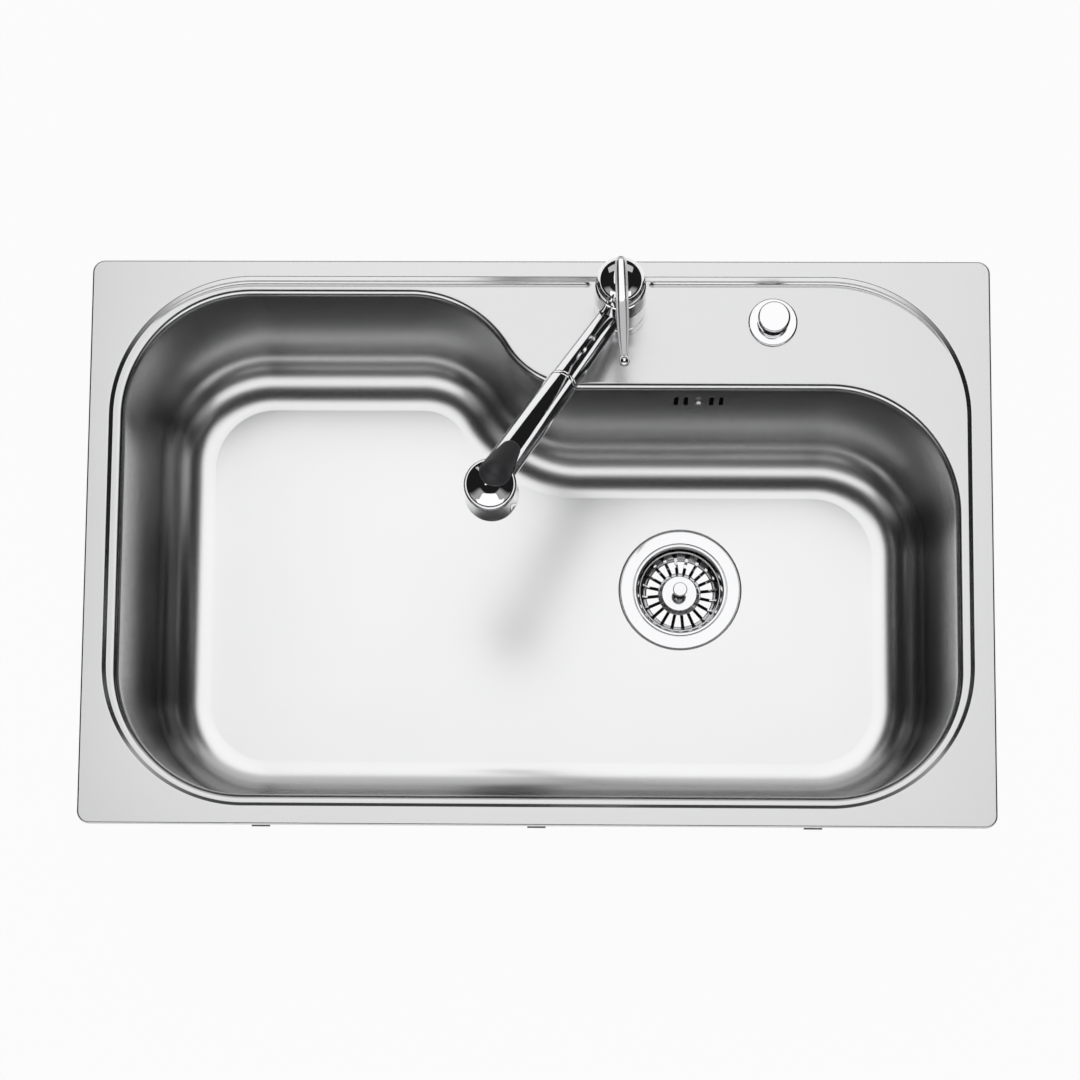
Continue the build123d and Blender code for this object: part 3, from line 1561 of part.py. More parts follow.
with BuildPart() as spray_face:
    face_top = outlet_height + spray_face_thickness
    sleeve(nozzle, face_radius - nozzle_ring_width, aerator_radius, outlet_height, face_top)
    for ring_radius, holes in spray_rings:
        with BuildSketch(Plane((nozzle_x, nozzle_y, outlet_height))):
            with PolarLocations(ring_radius, holes):
                Circle(spray_tip_radius)
        extrude(amount=-spray_tip_height)
        with BuildSketch(Plane((nozzle_x, nozzle_y, outlet_height - spray_tip_height))):
            with PolarLocations(ring_radius, holes):
                Circle(spray_hole_radius)
        extrude(amount=spray_face_thickness + spray_tip_height, mode=Mode.SUBTRACT)
spray_face.part.label = "spray_face"
export_step(spray_face.part, "parts/spray_face.step")

with BuildPart() as aerator:
    disc(nozzle, aerator_radius, outlet_height, outlet_height + aerator_length)
    recess_top = outlet_height + aerator_recess
    disc(nozzle, aerator_radius - aerator_wall, outlet_height, recess_top, Mode.SUBTRACT)
aerator.part.label = "aerator"
export_step(aerator.part, "parts/aerator.step")
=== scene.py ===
"""Looks of a stainless steel kitchen sink with its waste, remote control and pull-out tap."""

import json
from math import acos, atan2, cos, degrees, pi, radians, sin, tan

import bmesh
import bpy
import numpy as np
from bpy.props import FloatProperty, FloatVectorProperty, PointerProperty
from bpy.types import Operator, Panel, PropertyGroup
from mathutils import Matrix, Vector
from mathutils.geometry import delaunay_2d_cdt


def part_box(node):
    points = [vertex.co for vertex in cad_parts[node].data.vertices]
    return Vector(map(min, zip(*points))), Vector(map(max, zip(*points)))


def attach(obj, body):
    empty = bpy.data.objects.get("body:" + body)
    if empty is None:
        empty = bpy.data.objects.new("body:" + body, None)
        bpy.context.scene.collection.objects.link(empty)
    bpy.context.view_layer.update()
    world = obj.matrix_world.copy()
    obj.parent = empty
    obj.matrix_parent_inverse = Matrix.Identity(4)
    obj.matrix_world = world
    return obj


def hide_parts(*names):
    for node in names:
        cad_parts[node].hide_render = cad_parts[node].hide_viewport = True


bl_info = {
    "name": "Kitchen sink",
    "version": (1, 0, 0),
    "blender": (4, 5, 0),
    "location": "3D View > Sidebar > Sink",
    "description": "Builds the finished surfaces of a kitchen sink round its construction model",
    "category": "Mesh",
}

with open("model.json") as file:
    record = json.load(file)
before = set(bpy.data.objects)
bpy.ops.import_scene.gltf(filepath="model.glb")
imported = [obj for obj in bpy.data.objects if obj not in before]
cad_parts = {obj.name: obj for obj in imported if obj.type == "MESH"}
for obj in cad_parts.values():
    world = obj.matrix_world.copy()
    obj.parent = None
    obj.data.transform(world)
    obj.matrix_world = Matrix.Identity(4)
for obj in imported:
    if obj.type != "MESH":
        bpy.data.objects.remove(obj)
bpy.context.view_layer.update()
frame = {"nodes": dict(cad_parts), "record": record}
mm = 0.001


def middle(node):
    """Middle point of a node's box."""
    low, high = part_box(node)
    return np.array((low + high) / 2)


def extent(node):
    """Lengths of a node's box along X, Y and Z."""
    low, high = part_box(node)
    return np.array(high - low)


# Places and sizes that the frame gives
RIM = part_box("sink_bowl")
RIM_TOP = RIM[1].z
STEP_DROP = 2.5 * mm
DECK = RIM_TOP - STEP_DROP
DRAIN = middle("waste_cup")
TAP = middle("tap_base")
CONTROL = middle("control_rosette")


def length(name, text, value):
    """A length setting in metres."""
    kind = {"subtype": "DISTANCE", "unit": "LENGTH"}
    return FloatProperty(name=name, description=text, default=value, min=0, **kind)


def offset(name, text, value):
    """A distance setting in metres that may be below zero."""
    return FloatProperty(name=name, description=text, default=value, subtype="DISTANCE")


def angle(name, text, value):
    """An angle setting, given in degrees."""
    kind = {"subtype": "ANGLE", "unit": "ROTATION"}
    return FloatProperty(name=name, description=text, default=radians(value), **kind)


def share(name, text, value):
    """A setting from 0 to 1."""
    return FloatProperty(name=name, description=text, default=value, min=0, max=1, subtype="FACTOR")


def colour(name, text, value):
    """A colour setting."""
    kind = {"size": 3, "min": 0, "max": 1, "subtype": "COLOR"}
    return FloatVectorProperty(name=name, description=text, default=value, **kind)


class SinkSizes(PropertyGroup):
    """Sizes of the pressed sheet."""

    rim_length: length("Rim length", "Length of the border, from side to side", RIM[1].x - RIM[0].x)
    rim_width: length("Rim width", "Width of the border, from front to back", RIM[1].y - RIM[0].y)
    sheet: length("Sheet", "Thickness of the sheet", 0.8 * mm)
    edge_round: length("Edge round", "Radius of the border's folded edge", 1.6 * mm)
    border_side: length("Side border", "Width of the flat border at each side", 17.5 * mm)
    border_front: length("Front border", "Width of the flat border at the front", 15.5 * mm)
    border_back: length("Back border", "Width of the flat border at the back", 14 * mm)
    step_drop: length("Step", "Height of the step inside the border", STEP_DROP)
    step_run: length("Step run", "Width of the step", 4.4 * mm)
    step_radius: length("Step corners", "Radius of the step's corners", 125 * mm)
    groove_depth: length("Groove depth", "Depth of the drain groove", 1.5 * mm)
    groove_width: length("Groove width", "Width of the drain groove", 5 * mm)
    bowl_length: length("Bowl length", "Length of the bowl's mouth", 727.2 * mm)
    bowl_front: length("Bowl front", "Distance from the middle to the bowl's front edge", 223.4 * mm)
    bowl_back: length("Bowl back", "Distance from the middle to the bowl's back edge", 220 * mm)
    alcove_back: length("Alcove back", "Distance from the middle to the tap deck's edge", 135.5 * mm)
    bowl_depth: length("Bowl depth", "Depth from the border to the bowl's floor", 200 * mm)
    bowl_corner: length("Bowl corners", "Radius of the bowl's corners", 110 * mm)
    lip_radius: length("Lip", "Radius of the bowl's lip", 6 * mm)
    floor_radius: length("Floor round", "Radius between the walls and the floor", 45 * mm)
    draft: angle("Draft", "Lean of the bowl's walls", 3)


class Finishes(PropertyGroup):
    """Colours and roughness of the finishes."""

    steel: colour("Satin steel", "Colour of the rim and deck", (0.71, 0.71, 0.715))
    # The bowl's steel is paler than the deck's as painted light on its floor; the walls take darker shares of
    # it as painted shade
    bowl_steel_painted_light: colour("Bowl steel", "Colour of the bowl", (0.88, 0.88, 0.885))
    steel_roughness: share("Satin roughness", "Roughness of the pressed sheet", 0.2)
    bright_steel: colour("Polished steel", "Colour of the waste and its basket", (0.86, 0.86, 0.87))
    outside: colour("Matt outside", "Colour of the bowl's outside", (0.42, 0.42, 0.43))
    chrome: colour("Chrome", "Colour of the plated tap", (0.88, 0.88, 0.89))
    chrome_roughness: share("Chrome roughness", "Roughness of the plated tap", 0.035)
    brass: colour("Brass", "Colour of bare brass", (0.72, 0.55, 0.25))
    zinc: colour("Zinc", "Colour of zinc plate", (0.66, 0.67, 0.68))
    rubber: colour("Rubber", "Colour of the seals", (0.03, 0.03, 0.03))
    pad: colour("Soft pad", "Colour of the spray button", (0.05, 0.05, 0.055))


class StudioSettings(PropertyGroup):
    """Camera, floor and tent."""

    lens: FloatProperty(
        name="Lens", description="Focal length", default=88.34, subtype="DISTANCE_CAMERA"
    )
    shift: FloatProperty(name="Shift", description="Upward shift of the lens", default=0.2)
    pitch: angle("Pitch", "Turn of the camera away from straight down", 7.33)
    yaw: angle("Yaw", "Turn of the camera to the side", 1.03)
    roll: angle("Roll", "Turn of the picture", 0.44)
    camera_x: offset("Camera X", "Camera's place to the right", 46.1 * mm)
    camera_y: offset("Camera Y", "Camera's place towards the back", -479.8 * mm)
    camera_z: offset("Camera height", "Camera's height over the sink", 2262.1 * mm)
    floor_level: offset("Floor", "Height of the studio floor", -330 * mm)
    tent: share("Tent", "Brightness of the tent round the sink", 0.012)


# Nodes and sockets

# Places of the colour sockets among those of a Mix node
MIX_FIRST, MIX_SECOND, MIX_RESULT = 6, 7, 2


class Wire:
    """An output socket whose arithmetic adds Math nodes to its tree."""

    def __init__(self, socket):
        self.socket = socket

    def math(self, operation, *inputs):
        return Tree(self.socket.id_data).node("Math", {"operation": operation}, dict(enumerate(inputs)))

    def limit(self):
        """The value kept between 0 and 1."""
        return self.math("MINIMUM", self.math("MAXIMUM", self, 0), 1)

    def ramp(self, zero, one):
        """0 to 1 while the value goes from zero to one, and level beyond both."""
        return ((self - zero) * (1 / (one - zero))).limit()

    def __add__(self, other):
        return self.math("ADD", self, other)

    def __sub__(self, other):
        return self.math("SUBTRACT", self, other)

    def __rsub__(self, other):
        return self.math("SUBTRACT", other, self)

    def __mul__(self, other):
        return self.math("MULTIPLY", self, other)

    __radd__ = __add__
    __rmul__ = __mul__


class Tree:
    """A node tree to which any node is added by one method."""

    def __init__(self, tree):
        self.tree = tree

    def node(self, kind, settings=None, inputs=None, output=0):
        """Add a node of a kind, set it up, fill its sockets and give back one output."""
        made = self.tree.nodes.new("ShaderNode" + kind)
        for key, value in (settings or {}).items():
            setattr(made, key, value)
        for key, value in (inputs or {}).items():
            if isinstance(value, Wire):
                self.tree.links.new(value.socket, made.inputs[key])
            else:
                made.inputs[key].default_value = value
        return Wire(made.outputs[output])

    def place(self, scale=(1, 1, 1)):
        """Object coordinates in metres, stretched along each axis."""
        here = self.node("TexCoord", output="Object")
        return self.node("Mapping", {"vector_type": "POINT"}, {"Vector": here, "Scale": scale})

    def part(self, coordinates, axis):
        """One axis of the object's own coordinates or normals."""
        here = self.node("TexCoord", output=coordinates)
        return self.node("SeparateXYZ", None, {"Vector": here}, axis)

    def noise(self, scale, detail=3, stretch=(1, 1, 1)):
        """Noise from 0 to 1 at so many waves in a metre."""
        inputs = {"Vector": self.place(stretch), "Scale": scale, "Detail": detail}
        return self.node("TexNoise", {"noise_dimensions": "3D"}, inputs)

    def bump(self, height, strength, distance):
        """Normal from a height map, with the height's size in metres."""
        return self.node("Bump", None, {"Height": height, "Strength": strength, "Distance": distance})

    def blend(self, factor, first, second):
        """Mix of two colours."""
        first = first if isinstance(first, Wire) else (*first, 1)
        second = second if isinstance(second, Wire) else (*second, 1)
        inputs = {"Factor": factor, MIX_FIRST: first, MIX_SECOND: second}
        return self.node("Mix", {"data_type": "RGBA"}, inputs, output=MIX_RESULT)


def finish(name, colour_value, roughness, metal=0.0, build=None, **constants):
    """A material on the Principled shader; build adds what varies over the surface."""
    material = bpy.data.materials.new(name)
    material.use_nodes = True
    shader = material.node_tree.nodes["Principled BSDF"]
    shader.inputs["Base Color"].default_value = (*colour_value, 1)
    shader.inputs["Roughness"].default_value = roughness
    shader.inputs["Metallic"].default_value = metal
    for key, value in constants.items():
        shader.inputs[key.replace("_", " ")].default_value = value
    if build:
        tree = Tree(material.node_tree)
        for socket, wire in build(tree).items():
            material.node_tree.links.new(wire.socket, shader.inputs[socket])
    return material


def scaled(value, factor):
    """A colour made darker or lighter."""
    return tuple(min(1, part * factor) for part in value)


# How much rougher the bowl is than the deck, and the least and greatest tone of its walls, which are painted
# shade and painted light
BOWL_ROUGHER = 0.04
PAINTED_SHADE_WALL = 0.33
PAINTED_LIGHT_WALL = 0.85
# Heights between which the deck's tone turns into the bowl's, and levelness at which a wall starts
BOWL_STARTS = (-1 * mm, -4.33 * mm)
WALL_STARTS = (0.973, 0.703)
# Heights between which painted light makes a side wall paler upwards and a back wall paler downwards
SIDE_PAINTED_LIGHT = (-111 * mm, 0)
BACK_PAINTED_LIGHT = (-20 * mm, -220 * mm)
BRUSH_STRETCH = (0.015, 1, 1)


def satin(value, bowl, roughness):
    """Finely brushed sheet: faint lines along X, clouds in the gloss, painted light on a bright floor and
    painted shade on greyer walls.
    """

    def build(tree):
        lines = tree.noise(700, 3, BRUSH_STRETCH)
        clouds = tree.noise(7, 3)
        level = tree.part("Object", "Z")
        inside = level.ramp(*BOWL_STARTS)
        upright = tree.part("Normal", "Z").ramp(*WALL_STARTS)
        across = tree.part("Normal", "X")
        sideways = across * across
        # Painted light and shade: walls darker than the floor, side walls paler towards the top, back walls
        # paler towards the foot; the floor's paler colour is painted light
        painted_light_share = sideways * level.ramp(*SIDE_PAINTED_LIGHT) + (1 - sideways) * level.ramp(*BACK_PAINTED_LIGHT)
        deck_tone = tree.blend(lines, scaled(value, 0.985), scaled(value, 1.015))
        brushed_floor_painted_light = tree.blend(lines, scaled(bowl, 0.99), scaled(bowl, 1.01))
        painted_wall_shade = tree.blend(painted_light_share, scaled(bowl, PAINTED_SHADE_WALL), scaled(bowl, PAINTED_LIGHT_WALL))
        painted_bowl_light_and_shade = tree.blend(upright, brushed_floor_painted_light, painted_wall_shade)
        return {
            "Base Color": tree.blend(inside, deck_tone, painted_bowl_light_and_shade),
            "Roughness": roughness - 0.02 + clouds * 0.03 + lines * 0.01 + inside * BOWL_ROUGHER,
        }

    return build


def polished(value, roughness, clouds=14):
    """Bright metal with faint smears in its gloss."""

    def build(tree):
        smears = tree.noise(clouds, 3)
        fine = tree.noise(300, 2)
        return {
            "Base Color": tree.blend(smears, scaled(value, 0.985), scaled(value, 1.0)),
            "Roughness": roughness + smears * 0.02 + fine * 0.01,
        }

    return build


def turned_metal(value, roughness):
    """Machined or plated metal with fine turning marks."""

    def build(tree):
        marks = tree.noise(1600, 2, (0.3, 0.3, 1))
        stain = tree.noise(60, 4)
        return {
            "Base Color": tree.blend(stain, scaled(value, 0.9), scaled(value, 1.06)),
            "Roughness": roughness + stain * 0.12,
            "Normal": tree.bump(marks, 0.1, 0.00004),
        }

    return build


def moulded(value, roughness, grain=1800, depth=0.00003):
    """Moulded plastic or rubber with a fine grain and uneven gloss."""

    def build(tree):
        texture = tree.noise(grain, 2)
        haze = tree.noise(40, 3)
        return {
            "Base Color": tree.blend(haze, scaled(value, 0.9), scaled(value, 1.1)),
            "Roughness": roughness - 0.05 + haze * 0.1,
            "Normal": tree.bump(texture, 0.3, depth),
        }

    return build


def foam(value):
    """Closed cell foam: small round pits."""

    def build(tree):
        inputs = {"Vector": tree.place(), "Scale": 900}
        cells = tree.node("TexVoronoi", {"feature": "F1"}, inputs, "Distance")
        return {
            "Base Color": tree.blend(cells, scaled(value, 1.5), scaled(value, 0.6)),
            "Normal": tree.bump(cells, 0.6, 0.0003),
        }

    return build


def make_finishes(settings):
    """All materials by the name of the record's slot."""
    steel, chrome = tuple(settings.steel), tuple(settings.chrome)
    bright, brass = tuple(settings.bright_steel), tuple(settings.brass)
    outside = tuple(settings.outside)
    zinc, rubber, soft = tuple(settings.zinc), tuple(settings.rubber), tuple(settings.pad)
    black, grey, white = (0.035, 0.035, 0.038), (0.22, 0.23, 0.24), (0.82, 0.82, 0.8)
    damping = (0.09, 0.09, 0.1)
    rough = settings.steel_roughness
    gloss = settings.chrome_roughness
    return {
        "sink_steel": finish("satin_steel_painted_light", steel, rough, 1, satin(steel, tuple(settings.bowl_steel_painted_light), rough)),
        "outside": finish("outside_steel", outside, 0.4, 1, turned_metal(outside, 0.36)),
        "polished_steel": finish("polished_steel", bright, 0.08, 1, polished(bright, 0.07)),
        "chrome": finish("chrome", chrome, gloss, 1, polished(chrome, gloss)),
        "zinc_steel": finish("zinc_plate", zinc, 0.35, 1, turned_metal(zinc, 0.3)),
        "brass": finish("brass", brass, 0.25, 1, turned_metal(brass, 0.2)),
        "foam_seal": finish("foam_seal", rubber, 0.9, 0, foam(rubber)),
        "damping_pad": finish("damping_pad", damping, 0.7, 0, moulded(damping, 0.7, 500, 0.0003)),
        "black_rubber": finish("black_rubber", rubber, 0.6, 0, moulded(rubber, 0.6)),
        "black_plastic": finish("black_plastic", black, 0.4, 0, moulded(black, 0.4)),
        "grey_plastic": finish("grey_plastic", grey, 0.42, 0, moulded(grey, 0.42)),
        "white_plastic": finish("white_plastic", white, 0.45, 0, moulded(white, 0.45)),
        "ceramic": finish("ceramic", (0.86, 0.86, 0.84), 0.12, 0, polished((0.86, 0.86, 0.84), 0.1)),
        "button_rubber": finish("soft_pad", soft, 0.45, 0, moulded(soft, 0.45)),
    }


# Surfaces


def grid_faces(rows, columns, close_rows=False, close_columns=False):
    """Four-sided faces of a grid numbered row by row; a closed side joins its end to its start."""
    r = np.arange(rows if close_rows else rows - 1)[:, None]
    c = np.arange(columns if close_columns else columns - 1)[None, :]
    below, beside = (r + 1) % rows, (c + 1) % columns
    corners = (r * columns + c, r * columns + beside, below * columns + beside, below * columns + c)
    return np.stack(np.broadcast_arrays(*corners), -1)


def arc(centre, radius, start, end, count):
    """Points on a circle, from one angle in degrees to another, both ends included."""
    turn = np.radians(np.linspace(start, end, count))
    return np.stack([centre[0] + radius * np.cos(turn), centre[1] + radius * np.sin(turn)], -1)


def rounded(corners, radii, steps=6, closed=False):
    """Outline through corners, where one with a radius becomes an arc that touches both sides."""
    corners = [np.array(corner, float) for corner in corners]
    radii = [radii] * len(corners) if isinstance(radii, (int, float)) else list(radii)
    outline = []
    for k, (corner, radius) in enumerate(zip(corners, radii)):
        if radius == 0 or (not closed and k in (0, len(corners) - 1)):
            outline.append(corner[None])
            continue
        back = corners[k - 1] - corner
        ahead = corners[(k + 1) % len(corners)] - corner
        back, ahead = back / np.linalg.norm(back), ahead / np.linalg.norm(ahead)
        half = acos(np.clip(back @ ahead, -1, 1)) / 2
        bisector = (back + ahead) / np.linalg.norm(back + ahead)
        centre = corner + bisector * radius / sin(half)
        start = corner + back * radius / tan(half) - centre
        end = corner + ahead * radius / tan(half) - centre
        sweep = atan2(start[0] * end[1] - start[1] * end[0], start @ end)
        turn = atan2(start[1], start[0]) + np.linspace(0, 1, steps + 1) * sweep
        outline.append(centre + radius * np.stack([np.cos(turn), np.sin(turn)], -1))
    return np.concatenate(outline)


def section(rows, steps=6, closed=True):
    """Outline through rows of (radius, height, rounding)."""
    return rounded([row[:2] for row in rows], [row[2] for row in rows], steps, closed)


class Place:
    """A place with its own axes: along, and two across it."""

    def __init__(self, origin, along=(0, 0, 1), across=(1, 0, 0)):
        self.origin = np.array(origin, float)
        self.along = np.array(along, float) / np.linalg.norm(along)
        side = np.array(across, float) - self.along * (np.array(across, float) @ self.along)
        self.across = side / np.linalg.norm(side)
        self.third = np.cross(self.along, self.across)

    def at(self, x, y, z):
        """Points at coordinates across, third and along."""
        x, y, z = np.broadcast_arrays(x, y, z)
        steps = x[..., None] * self.across + y[..., None] * self.third + z[..., None] * self.along
        return self.origin + steps

    def ring(self, radius, turn, height):
        """Points at a radius, an angle in radians and a height."""
        return self.at(radius * np.cos(turn), radius * np.sin(turn), height)


class Shell:
    """Patches of surface that are joined into one mesh."""

    def __init__(self):
        self.points = []
        self.faces = []
        self.flags = []
        self.count = 0

    def patch(self, points, faces, flat=False):
        """Add points and faces numbered from these points; a flat patch keeps its own normals."""
        points = np.asarray(points, float).reshape(-1, 3)
        faces = np.asarray(faces)
        self.points.append(points)
        self.faces += (faces.reshape(-1, faces.shape[-1]) + self.count).tolist()
        self.flags.append(np.full(len(faces), flat))
        self.count += len(points)
        return self

    def grid(self, points, close_rows=False, close_columns=False, keep=None, flip=False):
        """Add a grid of points as four-sided faces, or those of them that keep picks."""
        rows, columns = points.shape[:2]
        faces = grid_faces(rows, columns, close_rows, close_columns)
        faces = faces[keep] if keep is not None else faces.reshape(-1, 4)
        return self.patch(points, faces[:, ::-1] if flip else faces)

    def flat(self, loops, up=(0, 0, 1)):
        """Fill an outline, less the holes in it, with well shaped triangles whose front looks up."""
        points = np.concatenate([np.asarray(loop, float) for loop in loops])
        axes = Place((0, 0, 0), up, (1, 0, 0) if abs(up[0]) < 0.9 else (0, 1, 0))
        level = np.column_stack([points @ axes.across, points @ axes.third])
        ends = np.cumsum([len(loop) for loop in loops])
        after = np.arange(1, len(points) + 1)
        after[ends - 1] = np.concatenate([[0], ends[:-1]])
        borders = np.column_stack([np.arange(len(points)), after])
        found = delaunay_2d_cdt([Vector(pair) for pair in level], borders.tolist(), [], 0, 1e-8)
        triangles = np.array([[found[3][corner][0] for corner in face] for face in found[2]])
        middles = level[triangles].mean(axis=1)
        start, end = level[borders[:, 0]], level[borders[:, 1]]
        x, y = middles[:, :1], middles[:, 1:]
        spans = (start[:, 1] > y) != (end[:, 1] > y)
        rise = np.where(end[:, 1] == start[:, 1], 1, end[:, 1] - start[:, 1])
        crossing = start[:, 0] + (y - start[:, 1]) / rise * (end[:, 0] - start[:, 0])
        inside = (spans & (crossing > x)).sum(axis=1) % 2 == 1
        triangles = triangles[inside]
        sides = points[triangles]
        normal = np.cross(sides[:, 1] - sides[:, 0], sides[:, 2] - sides[:, 0]) @ np.array(up, float)
        triangles[normal < 0] = triangles[normal < 0][:, ::-1]
        return self.patch(points, triangles, True)

    def lathe(self, place, profile, segments=96, closed=True):
        """Turn an outline of (radius, height) points about a place's axis."""
        profile = np.asarray(profile, float)
        turn = np.linspace(0, 2 * pi, segments, endpoint=False)
        points = place.ring(profile[:, 0][:, None], turn[None, :], profile[:, 1][:, None])
        return self.grid(points, close_rows=closed, close_columns=True)

    def mesh(self, name, outward=False, weld=2e-6):
        """The joined mesh, with its doubles merged and, for a closed form, its faces looking outwards."""
        mesh = bpy.data.meshes.new(name)
        mesh.from_pydata(np.concatenate(self.points), [], self.faces)
        mesh.attributes.new("flat", "BOOLEAN", "FACE").data.foreach_set("value", np.concatenate(self.flags))
        work = bmesh.new()
        work.from_mesh(mesh)
        bmesh.ops.remove_doubles(work, verts=work.verts, dist=weld)
        if outward:
            bmesh.ops.recalc_face_normals(work, faces=work.faces)
        work.to_mesh(mesh)
        work.free()
        return mesh


def sharpen_flats(mesh):
    """Mark open borders and the edges of flat patches as sharp, so that a flat patch shades flat."""
    flags = np.zeros(len(mesh.polygons), bool)
    if "flat" in mesh.attributes:
        mesh.attributes["flat"].data.foreach_get("value", flags)
    sides = np.zeros(len(mesh.polygons), int)
    edges = np.zeros(len(mesh.loops), int)
    mesh.polygons.foreach_get("loop_total", sides)
    mesh.loops.foreach_get("edge_index", edges)
    marks = np.repeat(flags, sides)
    beside_flat = np.bincount(edges, marks, len(mesh.edges))
    beside_any = np.bincount(edges, minlength=len(mesh.edges))
    border = (beside_flat > 0) & (beside_flat < beside_any) | (beside_any == 1)
    sharp = mesh.attributes.get("sharp_edge") or mesh.attributes.new("sharp_edge", "BOOLEAN", "EDGE")
    marked = np.zeros(len(mesh.edges), bool)
    sharp.data.foreach_get("value", marked)
    sharp.data.foreach_set("value", marked | border)


def add_piece(name, mesh, body, slot, replaces=(), crease=30, wall=0):
    """Put a mesh into the scene as a piece that rides on a body and may stand for CAD nodes."""
    piece = bpy.data.objects.new(name, mesh)
    bpy.context.scene.collection.objects.link(piece)
    mesh.shade_smooth()
    mesh.set_sharp_from_angle(angle=radians(crease))
    sharpen_flats(mesh)
    if wall:
        solid = piece.modifiers.new("Wall", "SOLIDIFY")
        solid.thickness = wall
        solid.offset = -1
        solid.use_even_offset = True
    mesh.materials.append(bpy.data.materials[SLOT_MATERIALS[slot]])
    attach(piece, body)
    if replaces:
        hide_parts(*replaces)
    return piece


SLOT_MATERIALS = {}


# The pressed sheet


class Outline:
    """A closed outline traced with its outside on the right, as points and outward normals."""

    def __init__(self):
        self.points = []
        self.normals = []

    def line(self, start, end, normal, stops):
        """Straight stretch with points at shares of its length, its end left out."""
        start, end = np.array(start, float), np.array(end, float)
        stops = np.asarray(stops)[:, None]
        self.points.append(start + (end - start) * stops)
        self.normals.append(np.broadcast_to(np.array(normal, float), (len(stops), 2)))
        return self

    def bend(self, centre, radius, start, end, count, outward=1):
        """Arc with its end left out; outward is -1 where the centre lies outside."""
        turn = np.radians(np.linspace(start, end, count, endpoint=False))
        unit = np.stack([np.cos(turn), np.sin(turn)], -1)
        self.points.append(np.array(centre) + radius * unit)
        self.normals.append(unit * outward)
        return self

    def close(self):
        self.points = np.concatenate(self.points)
        self.normals = np.concatenate(self.normals)
        return self

    def ring(self, offset, height):
        """The outline moved outwards, at a height."""
        moved = self.points + self.normals * offset
        return np.column_stack([moved, np.full(len(moved), height)])

    def sweep(self, profile):
        """Rings at each (offset, height) of a profile."""
        return np.stack([self.ring(offset, height) for offset, height in profile])


def steps(count):
    """Even shares of a stretch, its end left out."""
    return np.arange(count) / count


def rounded_box(x, y, middle_y, radius, bend_count, line_count=1):
    """Outline of a rectangle with rounded corners, x and y being half its sides."""
    a, b = x - radius, y - radius
    shape = Outline()
    shape.line((-a, middle_y - y), (a, middle_y - y), (0, -1), steps(line_count))
    shape.bend((a, middle_y - b), radius, -90, 0, bend_count)
    shape.line((x, middle_y - b), (x, middle_y + b), (1, 0), steps(line_count))
    shape.bend((a, middle_y + b), radius, 0, 90, bend_count)
    shape.line((a, middle_y + y), (-a, middle_y + y), (0, 1), steps(line_count))
    shape.bend((-a, middle_y + b), radius, 90, 180, bend_count)
    shape.line((-x, middle_y + b), (-x, middle_y - b), (-1, 0), steps(line_count))
    shape.bend((-a, middle_y - b), radius, 180, 270, bend_count)
    return shape.close()


# Border: radius of its corners and height of its edge's foot
RIM_CORNER = 11 * mm
EDGE_FOOT = 0.4 * mm
# Step: how far it laps the border, its roundings, and the share of its width that is level at each end
STEP_LAP = 1 * mm
STEP_TOP_ROUND = 1.5 * mm
STEP_FOOT_ROUND = 1.2 * mm
STEP_LEVEL_SHARE = 0.12
# S-bend of the bowl's back edge: where it starts and the radii of its two bends
BEND_START = -114 * mm
OUTER_BEND = 97 * mm
INNER_BEND = 78.3 * mm
# Inner line of the groove: its radius at each end, and the angles in degrees where it ends
GROOVE_LEFT = 131 * mm
GROOVE_RIGHT = 125 * mm
GROOVE_RIGHT_END = 28.0
GROOVE_LEFT_END = 137.6
GROOVE_FADE = 5 * mm
GROOVE_FLATNESS = 1.3
# Flat place round the tap where the groove stops, and the holes in the deck
TAP_PAD = 33 * mm
TAP_STRETCH = 40 * mm
DECK_HOLE = 17.5 * mm
# Flat patch of the back wall with the overflow's slots and screw
OVERFLOW_X = 141 * mm
OVERFLOW_HALF = 31 * mm
OVERFLOW_DROP = 38.6 * mm
OVERFLOW_RISE = 18 * mm
SLOT_PLACES = (-20 * mm, -11.3 * mm, 11.3 * mm, 20 * mm)
SLOT_WIDTH = 4 * mm
SLOT_HEIGHT = 23 * mm
SCREW_HOLE = 2.5 * mm
# Seat of the waste in the floor
RECESS_RADIUS = 56.8 * mm
RECESS_DEPTH = 2 * mm
RECESS_ROUND = 1.5 * mm
DRAIN_HOLE = 43.5 * mm


